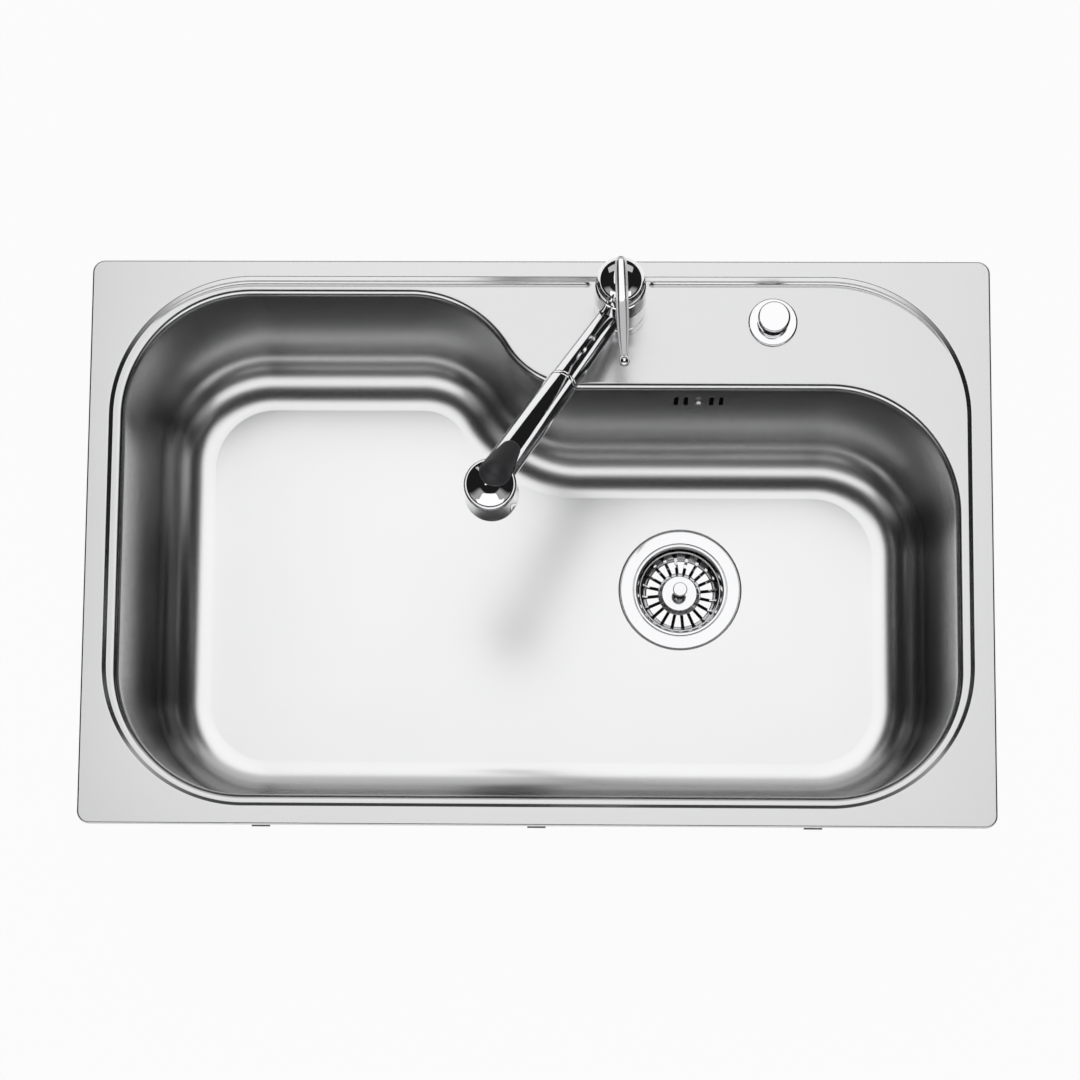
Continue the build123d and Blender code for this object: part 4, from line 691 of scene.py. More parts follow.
class SINK_OT_sheet(Operator):
    """Press the sheet: border, step, groove, deck, bowl, overflow and waste seat"""

    bl_idname = "sink.sheet"
    bl_label = "Pressed sheet"

    def execute(self, context):
        s = context.scene.sink_sizes
        shell = Shell()
        deck = RIM_TOP - s.step_drop

        # Folded edge: a round of edge_round, then straight down
        edge = rounded_box(s.rim_length / 2, s.rim_width / 2, 0, RIM_CORNER, 12, 2)
        r = s.edge_round
        edge_profile = np.vstack([arc((-r, RIM_TOP - r), r, 90, 0, 7), [0, EDGE_FOOT]])
        shell.grid(edge.sweep(edge_profile), close_columns=True, flip=True)

        # Step: a straight slope from the border to the ledge, rounded at both ends
        pan_x = s.rim_length / 2 - s.border_side
        pan_y = (s.rim_width - s.border_front - s.border_back) / 2
        pan_middle = (s.border_front - s.border_back) / 2
        a, b = pan_x - s.step_radius, pan_y - s.step_radius
        back = pan_middle + pan_y
        stretch = back_stops(a, s)
        pan = Outline()
        pan.line((-a, pan_middle - pan_y), (a, pan_middle - pan_y), (0, -1), steps(2))
        pan.bend((a, pan_middle - b), s.step_radius, -90, 0, 48)
        pan.line((pan_x, pan_middle - b), (pan_x, pan_middle + b), (1, 0), steps(2))
        pan.bend((a, pan_middle + b), s.step_radius, 0, GROOVE_RIGHT_END, 14)
        first = sum(len(part) for part in pan.points)
        pan.bend((a, pan_middle + b), s.step_radius, GROOVE_RIGHT_END, 90, 40)
        pan.line((a, back), (-a, back), (0, 1), stretch)
        pan.bend((-a, pan_middle + b), s.step_radius, 90, GROOVE_LEFT_END, 30)
        last = sum(len(part) for part in pan.points)
        pan.bend((-a, pan_middle + b), s.step_radius, GROOVE_LEFT_END, 180, 20)
        pan.line((-pan_x, pan_middle + b), (-pan_x, pan_middle - b), (-1, 0), steps(2))
        pan.bend((-a, pan_middle - b), s.step_radius, 180, 270, 48)
        pan.close()
        level = s.step_run * STEP_LEVEL_SHARE
        slope = [
            (STEP_LAP, RIM_TOP, 0),
            (-level, RIM_TOP, STEP_TOP_ROUND),
            (level - s.step_run, deck, STEP_FOOT_ROUND),
            (-s.step_run, deck, 0),
        ]
        slope = section(slope, 6, False)
        shell.grid(pan.sweep(slope), close_columns=True, flip=True)
        shell.flat([edge.ring(-r, RIM_TOP), pan.ring(slope[0][0], RIM_TOP)])

        # Groove: a trough between the step's foot and an inner line, fading out at its ends and at the tap
        foot = pan.ring(-s.step_run, deck)
        strip = foot[first : last + 1]
        inner = groove_line(strip, (a, pan_middle + b), s)
        across = np.linspace(0, 1, 13)[:, None]
        width = np.linalg.norm(inner - strip[:, :2], axis=1)
        away = np.linalg.norm((strip[:, :2] + inner) / 2 - TAP[:2], axis=1) - TAP_PAD
        fade = np.clip(away / GROOVE_FADE, 0, 1) * np.clip(width / s.groove_width, 0, 1)
        depth = s.groove_depth * fade * fade * (3 - 2 * fade)
        flat = strip[None, :, :2] + (inner - strip[:, :2])[None] * across[..., None]
        hollow = np.sin(pi * across) ** GROOVE_FLATNESS
        shell.grid(np.dstack([flat, deck - depth[None] * hollow]), flip=True)

        # Ledge and tap deck: flat, with holes for the tap and the control
        bowl, block = bowl_outline(s)
        tangent = tan(pi / 4 - s.draft / 2)
        lip = bowl.ring(s.lip_radius * tangent, deck)
        inner = np.column_stack([inner, np.full(len(inner), deck)])
        outer = np.vstack([foot[:first], inner, foot[last + 1 :]])
        holes = [circle(centre, DECK_HOLE, deck, 64) for centre in (TAP, CONTROL)]
        shell.flat([outer, lip, *holes])

        # Bowl: lip, leaning wall, round and floor, swept round the mouth
        floor = RIM_TOP - s.bowl_depth
        profile = bowl_profile(s, deck, floor)
        rings = bowl.sweep(profile)
        heights = profile[:, 1]
        within = np.abs(heights - (RIM_TOP - OVERFLOW_DROP)) <= OVERFLOW_RISE + 1e-6
        in_block = within[:-1] & within[1:]
        keep = np.ones((len(profile) - 1, len(bowl.points)), bool)
        keep[np.ix_(in_block, np.arange(block[0], block[1]))] = False
        shell.grid(rings, close_columns=True, keep=keep, flip=True)
        rows = np.flatnonzero(in_block)
        self.overflow(shell, rings[rows[0] : rows[-1] + 2, block[0] : block[1] + 1], s)

        # Floor with the waste's seat pressed into it
        seat = Place((DRAIN[0], DRAIN[1], floor))
        mouth = RECESS_RADIUS + RECESS_ROUND
        shell.flat([rings[-1], circle(DRAIN, mouth, floor)])
        rows = [
            (mouth, 0, 0),
            (RECESS_RADIUS, 0, RECESS_ROUND * 0.9),
            (RECESS_RADIUS, -RECESS_DEPTH, 0.3 * mm),
            (DRAIN_HOLE, -RECESS_DEPTH, 0),
        ]
        shell.lathe(seat, section(rows, 5, False), 128, closed=False)
        mesh = shell.mesh("sink_sheet", weld=4e-6)
        face_up(mesh)
        piece = add_piece("sink_sheet", mesh, "sink", "sink_steel", ["sink_bowl"], 38, s.sheet)
        mesh.materials.append(bpy.data.materials[SLOT_MATERIALS["outside"]])
        piece.modifiers["Wall"].material_offset = 1
        return {"FINISHED"}

    def overflow(self, shell, block, s):
        """Flat patch of the back wall with four slots and a screw hole."""
        loop = np.vstack([block[0, :-1], block[:-1, -1], block[-1, :0:-1], block[:0:-1, 0]])
        out = np.array([0, -cos(s.draft), sin(s.draft)])
        level = RIM_TOP - OVERFLOW_DROP
        at = block[0, 0]
        y = at[1] - (at[2] - level) * tan(s.draft)
        place = Place((OVERFLOW_X, y, level), out, (1, 0, 0))
        end = SLOT_WIDTH / 2
        straight = SLOT_HEIGHT / 2 - end
        slot = np.vstack([arc((0, straight), end, 0, 180, 9), arc((0, -straight), end, 180, 360, 9)])
        holes = [place.at(slot[:, 0] + x, slot[:, 1], 0) for x in SLOT_PLACES]
        screw = arc((0, 0), SCREW_HOLE, 0, 360, 17)[:-1]
        holes.append(place.at(screw[:, 0], screw[:, 1], 0))
        shell.flat([loop, *holes], out)


def face_up(mesh):
    """Make an open sheet's faces agree, and turn it over if most of its area looks down."""
    work = bmesh.new()
    work.from_mesh(mesh)
    bmesh.ops.recalc_face_normals(work, faces=work.faces)
    total = sum(face.normal.z * face.calc_area() for face in work.faces)
    if total < 0:
        bmesh.ops.reverse_faces(work, faces=work.faces)
    work.to_mesh(mesh)
    work.free()


def circle(centre, radius, height, count=128):
    """A level ring of points."""
    ring = arc(centre[:2], radius, 0, 360, count + 1)[:-1]
    return np.column_stack([ring, np.full(count, height)])


def back_stops(a, s):
    """Shares along the back edge, close together where the groove fades at the tap."""
    near = TAP[0] + np.linspace(-1, 1, 41) * TAP_STRETCH
    xs = np.concatenate([[a], near[::-1]])
    return (a - xs) / (2 * a)


def groove_line(strip, corner, s):
    """Inner line of the groove: straight behind the deck, then an arc of its own at each end."""
    points = strip[:, :2]
    line_y = points[:, 1].max() - s.groove_width
    inner = np.column_stack([points[:, 0], np.full(len(points), line_y)])
    for side, radius in ((1, GROOVE_RIGHT), (-1, GROOVE_LEFT)):
        centre = np.array([side * corner[0], corner[1]])
        at_end = side * points[:, 0] > corner[0]
        unit = points[at_end] - centre
        unit /= np.linalg.norm(unit, axis=1)[:, None]
        shift = centre[1] - (line_y - radius)
        drop = shift * unit[:, 1]
        reach = np.sqrt(radius**2 - shift**2 + drop**2) - drop
        outer = np.linalg.norm(points[at_end] - centre, axis=1)
        inner[at_end] = centre + unit * np.minimum(reach, outer)[:, None]
    return inner


def bowl_outline(s):
    """Mouth of the bowl: its back edge runs in an S-bend round the tap deck."""
    x, corner = s.bowl_length / 2, s.bowl_corner
    turn = degrees(acos(1 - (s.bowl_back - s.alcove_back) / (OUTER_BEND + INNER_BEND)))
    inner_x = BEND_START + (OUTER_BEND + INNER_BEND) * sin(radians(turn))
    right, left = x - corner, corner - x
    bowl = Outline()
    bowl.line((left, -s.bowl_front), (right, -s.bowl_front), (0, -1), steps(4))
    bowl.bend((right, corner - s.bowl_front), corner, -90, 0, 36)
    bowl.line((x, corner - s.bowl_front), (x, s.alcove_back - corner), (1, 0), steps(2))
    bowl.bend((right, s.alcove_back - corner), corner, 0, 90, 36)
    run = right - inner_x
    patch = right - OVERFLOW_X + np.linspace(-1, 1, 9) * OVERFLOW_HALF
    stops = np.concatenate([[0], patch / run])
    first = sum(len(part) for part in bowl.points) + 1
    bowl.line((right, s.alcove_back), (inner_x, s.alcove_back), (0, 1), stops)
    bowl.bend((inner_x, s.alcove_back + INNER_BEND), INNER_BEND, -90, -90 - turn, 24, -1)
    bowl.bend((BEND_START, s.bowl_back - OUTER_BEND), OUTER_BEND, 90 - turn, 90, 26)
    bowl.line((BEND_START, s.bowl_back), (left, s.bowl_back), (0, 1), steps(2))
    bowl.bend((left, s.bowl_back - corner), corner, 90, 180, 36)
    bowl.line((-x, s.bowl_back - corner), (-x, corner - s.bowl_front), (-1, 0), steps(2))
    bowl.bend((left, corner - s.bowl_front), corner, 180, 270, 36)
    return bowl.close(), (first, first + 8)


def bowl_profile(s, deck, floor):
    """Section of the bowl as (offset, height): lip arc, leaning wall, floor arc."""
    lip, round_floor = s.lip_radius, s.floor_radius
    lean = degrees(s.draft)
    reach = lip * tan(pi / 4 - s.draft / 2)
    lip_arc = arc((reach, deck - lip), lip, 90, 180 - lean, 9)
    foot = -(deck - floor) * tan(s.draft)
    inset = round_floor * tan(pi / 4 - s.draft / 2)
    floor_arc = arc((foot - inset, floor + round_floor), round_floor, -lean, -90, 17)
    top, bottom = lip_arc[-1], floor_arc[0]
    marks = np.array([RIM_TOP - OVERFLOW_DROP + k * OVERFLOW_RISE for k in (1, 0.5, 0, -0.5, -1)])
    levels = np.concatenate([marks, np.linspace(marks[-1], bottom[1], 8)[1:-1]])
    share_along = (levels - top[1]) / (bottom[1] - top[1])
    wall = top + (bottom - top) * share_along[:, None]
    return np.vstack([lip_arc, wall, floor_arc])


# Waste and basket

# Slots of the basket: their number, width, turn in degrees and height up the wall
SLOTS = 20
SLOT_GAP = 3 * mm
SLOT_TURN = 6.0
SLOT_CLIMB = 8.5 * mm
# Bead round the basket, how far its wall leans in, and the rounding at the wall's foot
BEAD = 0.9 * mm
BASKET_LEAN = 5.6 * mm
BASKET_ROUND = 2.6 * mm


class WasteSizes(PropertyGroup):
    """Sizes of the waste and its basket."""

    flange: length("Flange", "Radius of the flange", extent("waste_cup")[0] / 2)
    flange_thickness: length("Flange thickness", "Thickness of the flange", 1.2 * mm)
    ring_line: length("Ring line", "Radius of the line pressed into the flange", 43.9 * mm)
    cup: length("Cup", "Inner radius of the cup", 40 * mm)
    cup_wall: length("Cup wall", "Thickness of the cup", 1.2 * mm)
    cup_depth: length("Cup depth", "Depth of the cup", 42 * mm)
    opening: length("Opening", "Radius of the hole in the cup", 25 * mm)
    basket: length("Basket", "Radius of the basket's rim", extent("basket")[0] / 2)
    rim_drop: length("Basket rim", "Depth of the basket's rim below the floor", 7 * mm)
    floor_drop: length("Basket floor", "Depth of the basket's floor below the bowl's", 21.4 * mm)
    hub: length("Hub", "Radius of the raised middle", 16.4 * mm)
    hub_rise: length("Hub rise", "Height of the raised middle", 3.8 * mm)
    hub_flank: length("Hub flank", "Width of the slope round the raised middle", 4 * mm)
    knob: length("Knob", "Radius of the pull knob", extent("basket_knob")[0] / 2)
    knob_top: length("Knob top", "Height of the knob above the bowl's floor", 4.5 * mm)


class SINK_OT_waste(Operator):
    """Make the flanged cup of the waste, the slotted basket and its knob"""

    bl_idname = "sink.waste"
    bl_label = "Waste and basket"

    def execute(self, context):
        w = context.scene.sink_waste
        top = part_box("waste_cup")[1].z
        place = Place((DRAIN[0], DRAIN[1], top))
        self.cup(place, w)
        self.basket(place, w)
        self.knob(place, w)
        return {"FINISHED"}

    def cup(self, place, w):
        """A lathed outline: rounded mouth, pressed ring line, flange, wall and ledge."""
        line, groove, weld = w.ring_line, 0.8 * mm, 2 * mm
        outer = w.cup + w.cup_wall
        under = -w.flange_thickness
        foot = -w.cup_depth - w.cup_wall
        rows = [
            (w.cup, -w.cup_depth, 0.9 * mm),
            (w.cup, 0, 1.8 * mm),
            (line - groove, 0, 0.15 * mm),
            (line, -groove, 0.2 * mm),
            (line + groove, 0, 0.15 * mm),
            (w.flange, 0, 0.55 * mm),
            (w.flange, under, 0.3 * mm),
            (outer + weld, under, 0),
            (outer, under - weld, 0),
            (outer, foot, 1 * mm),
            (w.opening, foot, 0),
            (w.opening, -w.cup_depth, 0.3 * mm),
        ]
        mesh = Shell().lathe(place, section(rows), 160).mesh("strainer_cup", True)
        add_piece("strainer_cup", mesh, "sink", "polished_steel", ["waste_cup"], 40)

    def basket(self, place, w):
        """A pressed sheet turned from one outline, with parallel slots left out of the grid."""
        floor, top = -w.floor_drop, w.hub_rise - w.floor_drop
        hub_foot = w.hub + w.hub_flank
        bead = arc((w.basket - BEAD, -w.rim_drop - BEAD), BEAD, -60, 180, 13)
        corners = [bead[-1], (w.basket - BASKET_LEAN, floor), (hub_foot, floor)]
        wall = rounded(corners, [0, BASKET_ROUND, 0], 8)
        corners = [wall[-1], (hub_foot - 0.3 * mm, floor), (w.hub, top), (w.hub * 0.6, top)]
        hub = rounded(corners, [0, 0.6 * mm, 0.9 * mm, 0], 6)
        centre = np.array([[w.hub * 0.5, top], [0, top]])
        start = spaced(np.vstack([bead, wall[1:]]), 60)
        profile = np.vstack([start, hub[1:], centre])
        radius, height = profile[:, 0], profile[:, 1]

        period = 2 * pi / SLOTS
        half = np.minimum(SLOT_GAP / 2 / np.maximum(radius, 2 * mm), period * 0.3)[:, None]
        across = np.array([-1, -0.5, 0, 0.5])
        bar = np.array([0, 0.25, 0.5, 0.75])
        in_period = np.hstack([half * across, half + (period - 2 * half) * bar])
        starts = np.arange(SLOTS) * period + radians(SLOT_TURN)
        turn = (starts[None, :, None] + in_period[:, None, :]).reshape(len(profile), -1)
        points = place.ring(radius[:, None], turn, height[:, None])
        columns = turn.shape[1]
        in_slot = (np.arange(columns) % 8) < 4
        middle_radius = (radius[:-1] + radius[1:]) / 2
        middle_height = (height[:-1] + height[1:]) / 2
        slotted = (middle_radius > hub_foot - 0.2 * mm) & (middle_height < floor + SLOT_CLIMB)
        keep = ~(slotted[:, None] & in_slot[None, :])
        shell = Shell().grid(points, close_columns=True, keep=keep)
        mesh = shell.mesh("basket_sheet")
        face_up(mesh)
        add_piece("basket_sheet", mesh, "basket", "polished_steel", ["basket"], 40, 0.8 * mm)

    def knob(self, place, w):
        """A lathed mushroom: waisted stem, round edge and a faintly domed top."""
        foot, top = w.hub_rise - w.floor_drop, w.knob_top
        waist, spread = 4.3 * mm, 1.1 * mm
        rows = [
            (0, foot, 0),
            (waist + spread, foot, 0),
            (waist, foot + 5 * mm, 2 * mm),
            (waist, top - 7 * mm, 2 * mm),
            (w.knob, top - 3.4 * mm, 1 * mm),
            (w.knob, top - 0.3 * mm, 0.9 * mm),
            (0, top, 0),
        ]
        mesh = Shell().lathe(place, section(rows, 7), 72).mesh("pull_knob", True)
        add_piece("pull_knob", mesh, "basket", "polished_steel", ["basket_knob"], 40)


def spaced(line, count):
    """A line of points sampled again at even distances."""
    steps_along = np.linalg.norm(np.diff(line, axis=0), axis=1)
    along = np.concatenate([[0], np.cumsum(steps_along)])
    wanted = np.linspace(0, along[-1], count)
    return np.column_stack([np.interp(wanted, along, line[:, k]) for k in (0, 1)])


# Remote control

# Rosette: gap to the spindle, hollow underneath, width of its seat, and its round edge
ROSETTE_GAP = 3.2 * mm
ROSETTE_HOLLOW = 1.8 * mm
ROSETTE_SEAT = 4.6 * mm
ROSETTE_ROUND = 1.4 * mm


class SINK_OT_control(Operator):
    """Turn the knob and rosette of the remote control"""

    bl_idname = "sink.control"
    bl_label = "Remote control"

    def execute(self, context):
        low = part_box("control_rosette")[0].z
        place = Place((CONTROL[0], CONTROL[1], low))
        bore = extent("control_spindle")[0] / 2
        for name, body, node, rows in (
            ("rosette", "sink", "control_rosette", self.rosette(bore)),
            ("turn_knob", "control", "control_knob", self.knob(bore, low)),
        ):
            mesh = Shell().lathe(place, rows, 128).mesh(name, True)
            add_piece(name, mesh, body, "chrome", [node], 40)
        return {"FINISHED"}

    def rosette(self, bore):
        """Ring hollow underneath, with a nearly level top and a steep round edge."""
        radius, rise = extent("control_rosette")[0] / 2, extent("control_rosette")[2]
        seat = radius - ROSETTE_SEAT
        inner = bore + ROSETTE_GAP
        rows = [
            (inner, ROSETTE_HOLLOW, 0),
            (seat, ROSETTE_HOLLOW, 0),
            (seat, 0, 0),
            (radius, 0, 0.2 * mm),
            (radius, rise - 0.7 * mm, ROSETTE_ROUND),
            (inner, rise, 0.4 * mm),
        ]
        return section(rows, 9)

    def knob(self, bore, low):
        """Round knob with a neck, a notch over it and a bored foot."""
        foot, top = (corner.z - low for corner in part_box("control_knob"))
        radius = extent("control_knob")[0] / 2
        neck, notch, bored = radius - 1 * mm, radius - 1.7 * mm, top - 5 * mm
        rows = [
            (bore, foot, 0),
            (neck - 0.4 * mm, foot, 0.3 * mm),
            (neck, foot + 1 * mm, 0.6 * mm),
            (neck, foot + 4.4 * mm, 0.4 * mm),
            (notch, foot + 5.1 * mm, 0.3 * mm),
            (radius, foot + 5.8 * mm, 0.5 * mm),
            (radius, top - 0.3 * mm, 1.6 * mm),
            (0, top, 0),
            (0, bored, 0),
            (bore, bored, 0),
        ]
        return section(rows, 7)


# Cap under the lever

# Straight part, dome and wall of the cap, then half the sides, middle and corners of its slot
CAP_SPRING = 11.5 * mm
CAP_RISE = 14.5 * mm
CAP_WALL = 1.8 * mm
CAP_SLOT = (4.3 * mm, 12.2 * mm)
CAP_SLOT_MIDDLE = 7.9 * mm
CAP_SLOT_CORNER = 4.2 * mm
CAP_SLOT_TOP = 40 * mm


class SINK_OT_cap(Operator):
    """Turn the domed cap under the lever, with a slot for the stem"""

    bl_idname = "sink.cap"
    bl_label = "Lever cap"

    def execute(self, context):
        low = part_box("lever_cap")[0].z
        radius = extent("lever_cap")[0] / 2
        hollow = radius - CAP_WALL
        turn = np.linspace(0, pi / 2, 28)[:, None]
        unit = np.hstack([np.cos(turn), np.sin(turn)])
        outer = (0, CAP_SPRING) + unit * (radius, CAP_RISE)
        inner = (0, CAP_SPRING) + unit[::-1] * (hollow, CAP_RISE - CAP_WALL)
        rows = [
            (hollow, CAP_SPRING, 0),
            (hollow, 0, 0.2 * mm),
            (radius, 0, 0.4 * mm),
            (radius, CAP_SPRING, 0),
        ]
        profile = np.vstack([outer, inner, section(rows, 5, False)[1:-1]])
        dome = Shell().lathe(Place((TAP[0], TAP[1], low)), profile, 128).mesh("dome", True)
        slot = rounded_box(*CAP_SLOT, TAP[1] + CAP_SLOT_MIDDLE, CAP_SLOT_CORNER, 8)
        slot.points[:, 0] += TAP[0]
        bottom, top = low + CAP_SPRING, low + CAP_SLOT_TOP
        cutter = Shell().grid(slot.sweep([(0, bottom), (0, top)]), close_columns=True)
        cutter.flat([slot.ring(0, bottom)], (0, 0, -1)).flat([slot.ring(0, top)])
        cap = combined(dome, [cutter.mesh("slot", True)], "DIFFERENCE")
        add_piece("lever_dome", cap, "mixer", "chrome", ["lever_cap"], 40)
        return {"FINISHED"}


# Lever

# Shares along the lever: how much of its bend comes early, where it is widest and how far it swells
EARLY_BEND = 0.06
WIDEST = 0.38
SWELL = 0.6
# Rear end's round, and depth, place and width of the line along each edge
REAR_ROUND = 6 * mm
LINE_DEPTH = 0.8 * mm
LINE_PLACE = 0.7
LINE_WIDTH = 0.13


class LeverSizes(PropertyGroup):
    """Sizes of the tap's lever."""

    back: length("Back", "Distance from the tap's axis to the lever's rear end", 14.5 * mm)
    arc_radius: length("Arc", "Radius of the lever's side view", 295 * mm)
    root_height: length("Root height", "Height of the lever's middle over the deck", 103.6 * mm)
    half_width: length("Half width", "Half of the lever's greatest width", 5.4 * mm)
    neck_half_width: length("Neck", "Half of the lever's width at the neck", 2.3 * mm)
    root_thickness: length("Root thickness", "Thickness at the rear", 5.8 * mm)
    neck_thickness: length("Neck thickness", "Thickness at the neck", 3.2 * mm)
    ball: length("Ball", "Radius of the ball at the tip", 4.35 * mm)
    start_rise: angle("Start rise", "Slope at the rear end", 4)
    end_rise: angle("End rise", "Slope at the tip", 23.6)
    turn: angle("Turn", "Turn of the lever to the right", 1.8)


class SINK_OT_lever(Operator):
    """Shape the lever: a long leaf on a gentle arc that ends in a ball"""

    bl_idname = "sink.lever"
    bl_label = "Lever"

    def execute(self, context):
        v = context.scene.sink_lever
        early = (v.end_rise - v.start_rise) * EARLY_BEND
        slope = np.concatenate([
            v.start_rise + early * (1 - np.cos(np.linspace(0, pi / 2, 16))),
            np.linspace(v.start_rise + early, v.end_rise, 90)[1:],
        ])
        forward = v.arc_radius * (np.sin(slope) - sin(v.start_rise)) - v.back
        height = v.root_height + v.arc_radius * (cos(v.start_rise) - np.cos(slope))
        ball_at = forward[-1]
        beyond = ball_at + v.ball * np.sin(np.linspace(0, pi / 2, 12))[1:]
        slope = np.append(slope, np.full(len(beyond), slope[-1]))
        height = np.append(height, height[-1] + (beyond - ball_at) * tan(v.end_rise))
        forward = np.append(forward, beyond)

        # Plan: round rear end, widest a third of the way along, slim neck, ball
        along = (forward + v.back) / (ball_at + v.back)
        end = np.sqrt(1 - np.clip(1 - (forward + v.back) / REAR_ROUND, 0, 1) ** 2)
        swell = np.clip(1 - np.abs((along - WIDEST) / SWELL) ** 2.6, 0, 1) ** 0.8
        width = end * (v.neck_half_width + (v.half_width - v.neck_half_width) * swell)
        thinner = (v.root_thickness - v.neck_thickness) * np.clip(along, 0, 1)
        thick = end**0.6 * (v.root_thickness - thinner) / 2
        reach = np.clip(1 - ((forward - ball_at) / v.ball / cos(v.end_rise) * 0.93) ** 2, 0, 1)
        ball = v.ball * np.sqrt(reach)
        before_ball = forward <= ball_at
        width = np.where(before_ball, np.maximum(width, ball), ball)
        thick = np.where(before_ball, np.maximum(thick, ball), ball)
        power = np.where(ball >= width, 2.0, 2.7)[:, None]

        # Section: a superellipse with a fine line let into the top near each edge
        turn = np.linspace(0, 2 * pi, 72, endpoint=False)[None, :]
        side = np.sign(np.cos(turn)) * np.abs(np.cos(turn)) ** (2 / power)
        lift = np.sign(np.sin(turn)) * np.abs(np.sin(turn)) ** (2 / power)
        line = LINE_DEPTH * np.exp(-(((np.abs(side) - LINE_PLACE) / LINE_WIDTH) ** 2)) * (lift > 0)
        fade = np.clip((v.half_width - np.abs(width - v.half_width)) / v.half_width, 0, 1) * (ball < width)
        rise = lift * thick[:, None] - line * fade[:, None]
        place = Place((TAP[0], TAP[1], DECK), (0, 0, 1), (cos(v.turn), sin(v.turn), 0))
        run = -(forward[:, None] - rise * np.sin(slope)[:, None])
        points = place.at(side * width[:, None], run, height[:, None] + rise * np.cos(slope)[:, None])
        shell = Shell().grid(points, close_columns=True)
        for row in (points[:1], points[-1:]):
            middle_point = row.mean(axis=1, keepdims=True)
            shell.grid(np.concatenate([row, np.broadcast_to(middle_point, row.shape)]), close_columns=True)
        add_piece("lever_leaf", shell.mesh("lever_leaf", True, 2e-5), "lever", "chrome", ["lever"], 60)
        return {"FINISHED"}


# Pull-out spray


class SpraySizes(PropertyGroup):
    """Sizes of the pull-out spray."""

    root: length("Spout root", "Height of the spout's line at the tap's axis", 18.5 * mm)
    reach: length("Reach", "Distance from the tap's axis to the outlet", 225 * mm)
    setback: length("Setback", "Distance from the outlet's axis to the end of the grip", 9 * mm)
    grip_start: length("Grip start", "Start of the grip along the spout", 130 * mm)
    grip_rear: length("Grip rear", "Radius of the grip at its rear", 12.9 * mm)
    grip_front: length("Grip front", "Radius of the grip at the head", 13.7 * mm)
    wall: length("Wall", "Thickness of the grip and head", 4.2 * mm)
    foot: length("Head foot", "Radius of the head at its foot", 22.3 * mm)
    foot_height: length("Foot height", "Height of the head's foot over the deck", 137 * mm)
    crown_height: length("Crown height", "Height of the head's crown over its foot", 51.5 * mm)
    crown: length("Crown", "Radius of the head's rounded top", 21 * mm)
    crown_lean: angle("Crown lean", "Slope at which the rounded top turns into a cone", 31)
    crown_edge: length("Crown edge", "Radius at which the cone rolls over into the flank", 17 * mm)
    crown_roll: length("Crown roll", "Radius of the roll between cone and flank", 9 * mm)
    pad_front: length("Pad front", "Radius of the pad's front", 13 * mm)
    pad_rear: length("Pad rear", "Radius of the pad's rear", 8 * mm)
    pad_start: length("Pad start", "Distance from the outlet's axis to the pad's front circle", 9.4 * mm)
    pad_end: length("Pad end", "Distance from the outlet's axis to the pad's rear circle", 33.4 * mm)
    pad_proud: length("Pad proud", "Height of the pad over the head", 0.9 * mm)
    pad_under: length("Pad under", "Depth of the pad's underside", 1.6 * mm)
    turn: angle("Turn", "Turn of the spout to the left", 28)
    rise: angle("Rise", "Rise of the spout", 36)


# Gap round the pad, the pocket cut for it, its rolled edge, and how softly it joins head and grip
PAD_GAP = 0.25 * mm
POCKET_ABOVE = 12 * mm
POCKET_DEPTH = 3 * mm
PAD_ROLL = 0.7 * mm
PAD_SOFTNESS = 4 * mm
# Ring line round the grip: its distance from the rear, half its width, and its depth
RING_PLACE = 4 * mm
RING_HALF = 0.5 * mm
RING_DEPTH = 0.45 * mm
GRIP_ROUND = 1.1 * mm
# Head: height of its straight foot, and how the flank flares out to it
FOOT_BAND = 3 * mm
FLARE_POWER = 2.4


class SINK_OT_spray(Operator):
    """Shape the pull-out spray: tapered grip, round head and soft pad"""

    bl_idname = "sink.spray"
    bl_label = "Pull-out spray"

    def execute(self, context):
        p = context.scene.sink_spray
        form = SprayForm(p)
        body = combined(form.grip(0), [form.head()], "UNION")
        pocket = form.pad(PAD_GAP, POCKET_ABOVE, POCKET_DEPTH)
        shell = combined(body, [form.grip(-p.wall), form.hollow(), pocket], "DIFFERENCE")
        add_piece("spray_body", shell, "handset", "chrome", ["handset_shell"], 32)
        pad = form.pad(0, p.pad_proud, p.pad_under, PAD_ROLL)
        add_piece("soft_pad", pad, "spray_button", "button_rubber", ["spray_button"], 50)
        return {"FINISHED"}


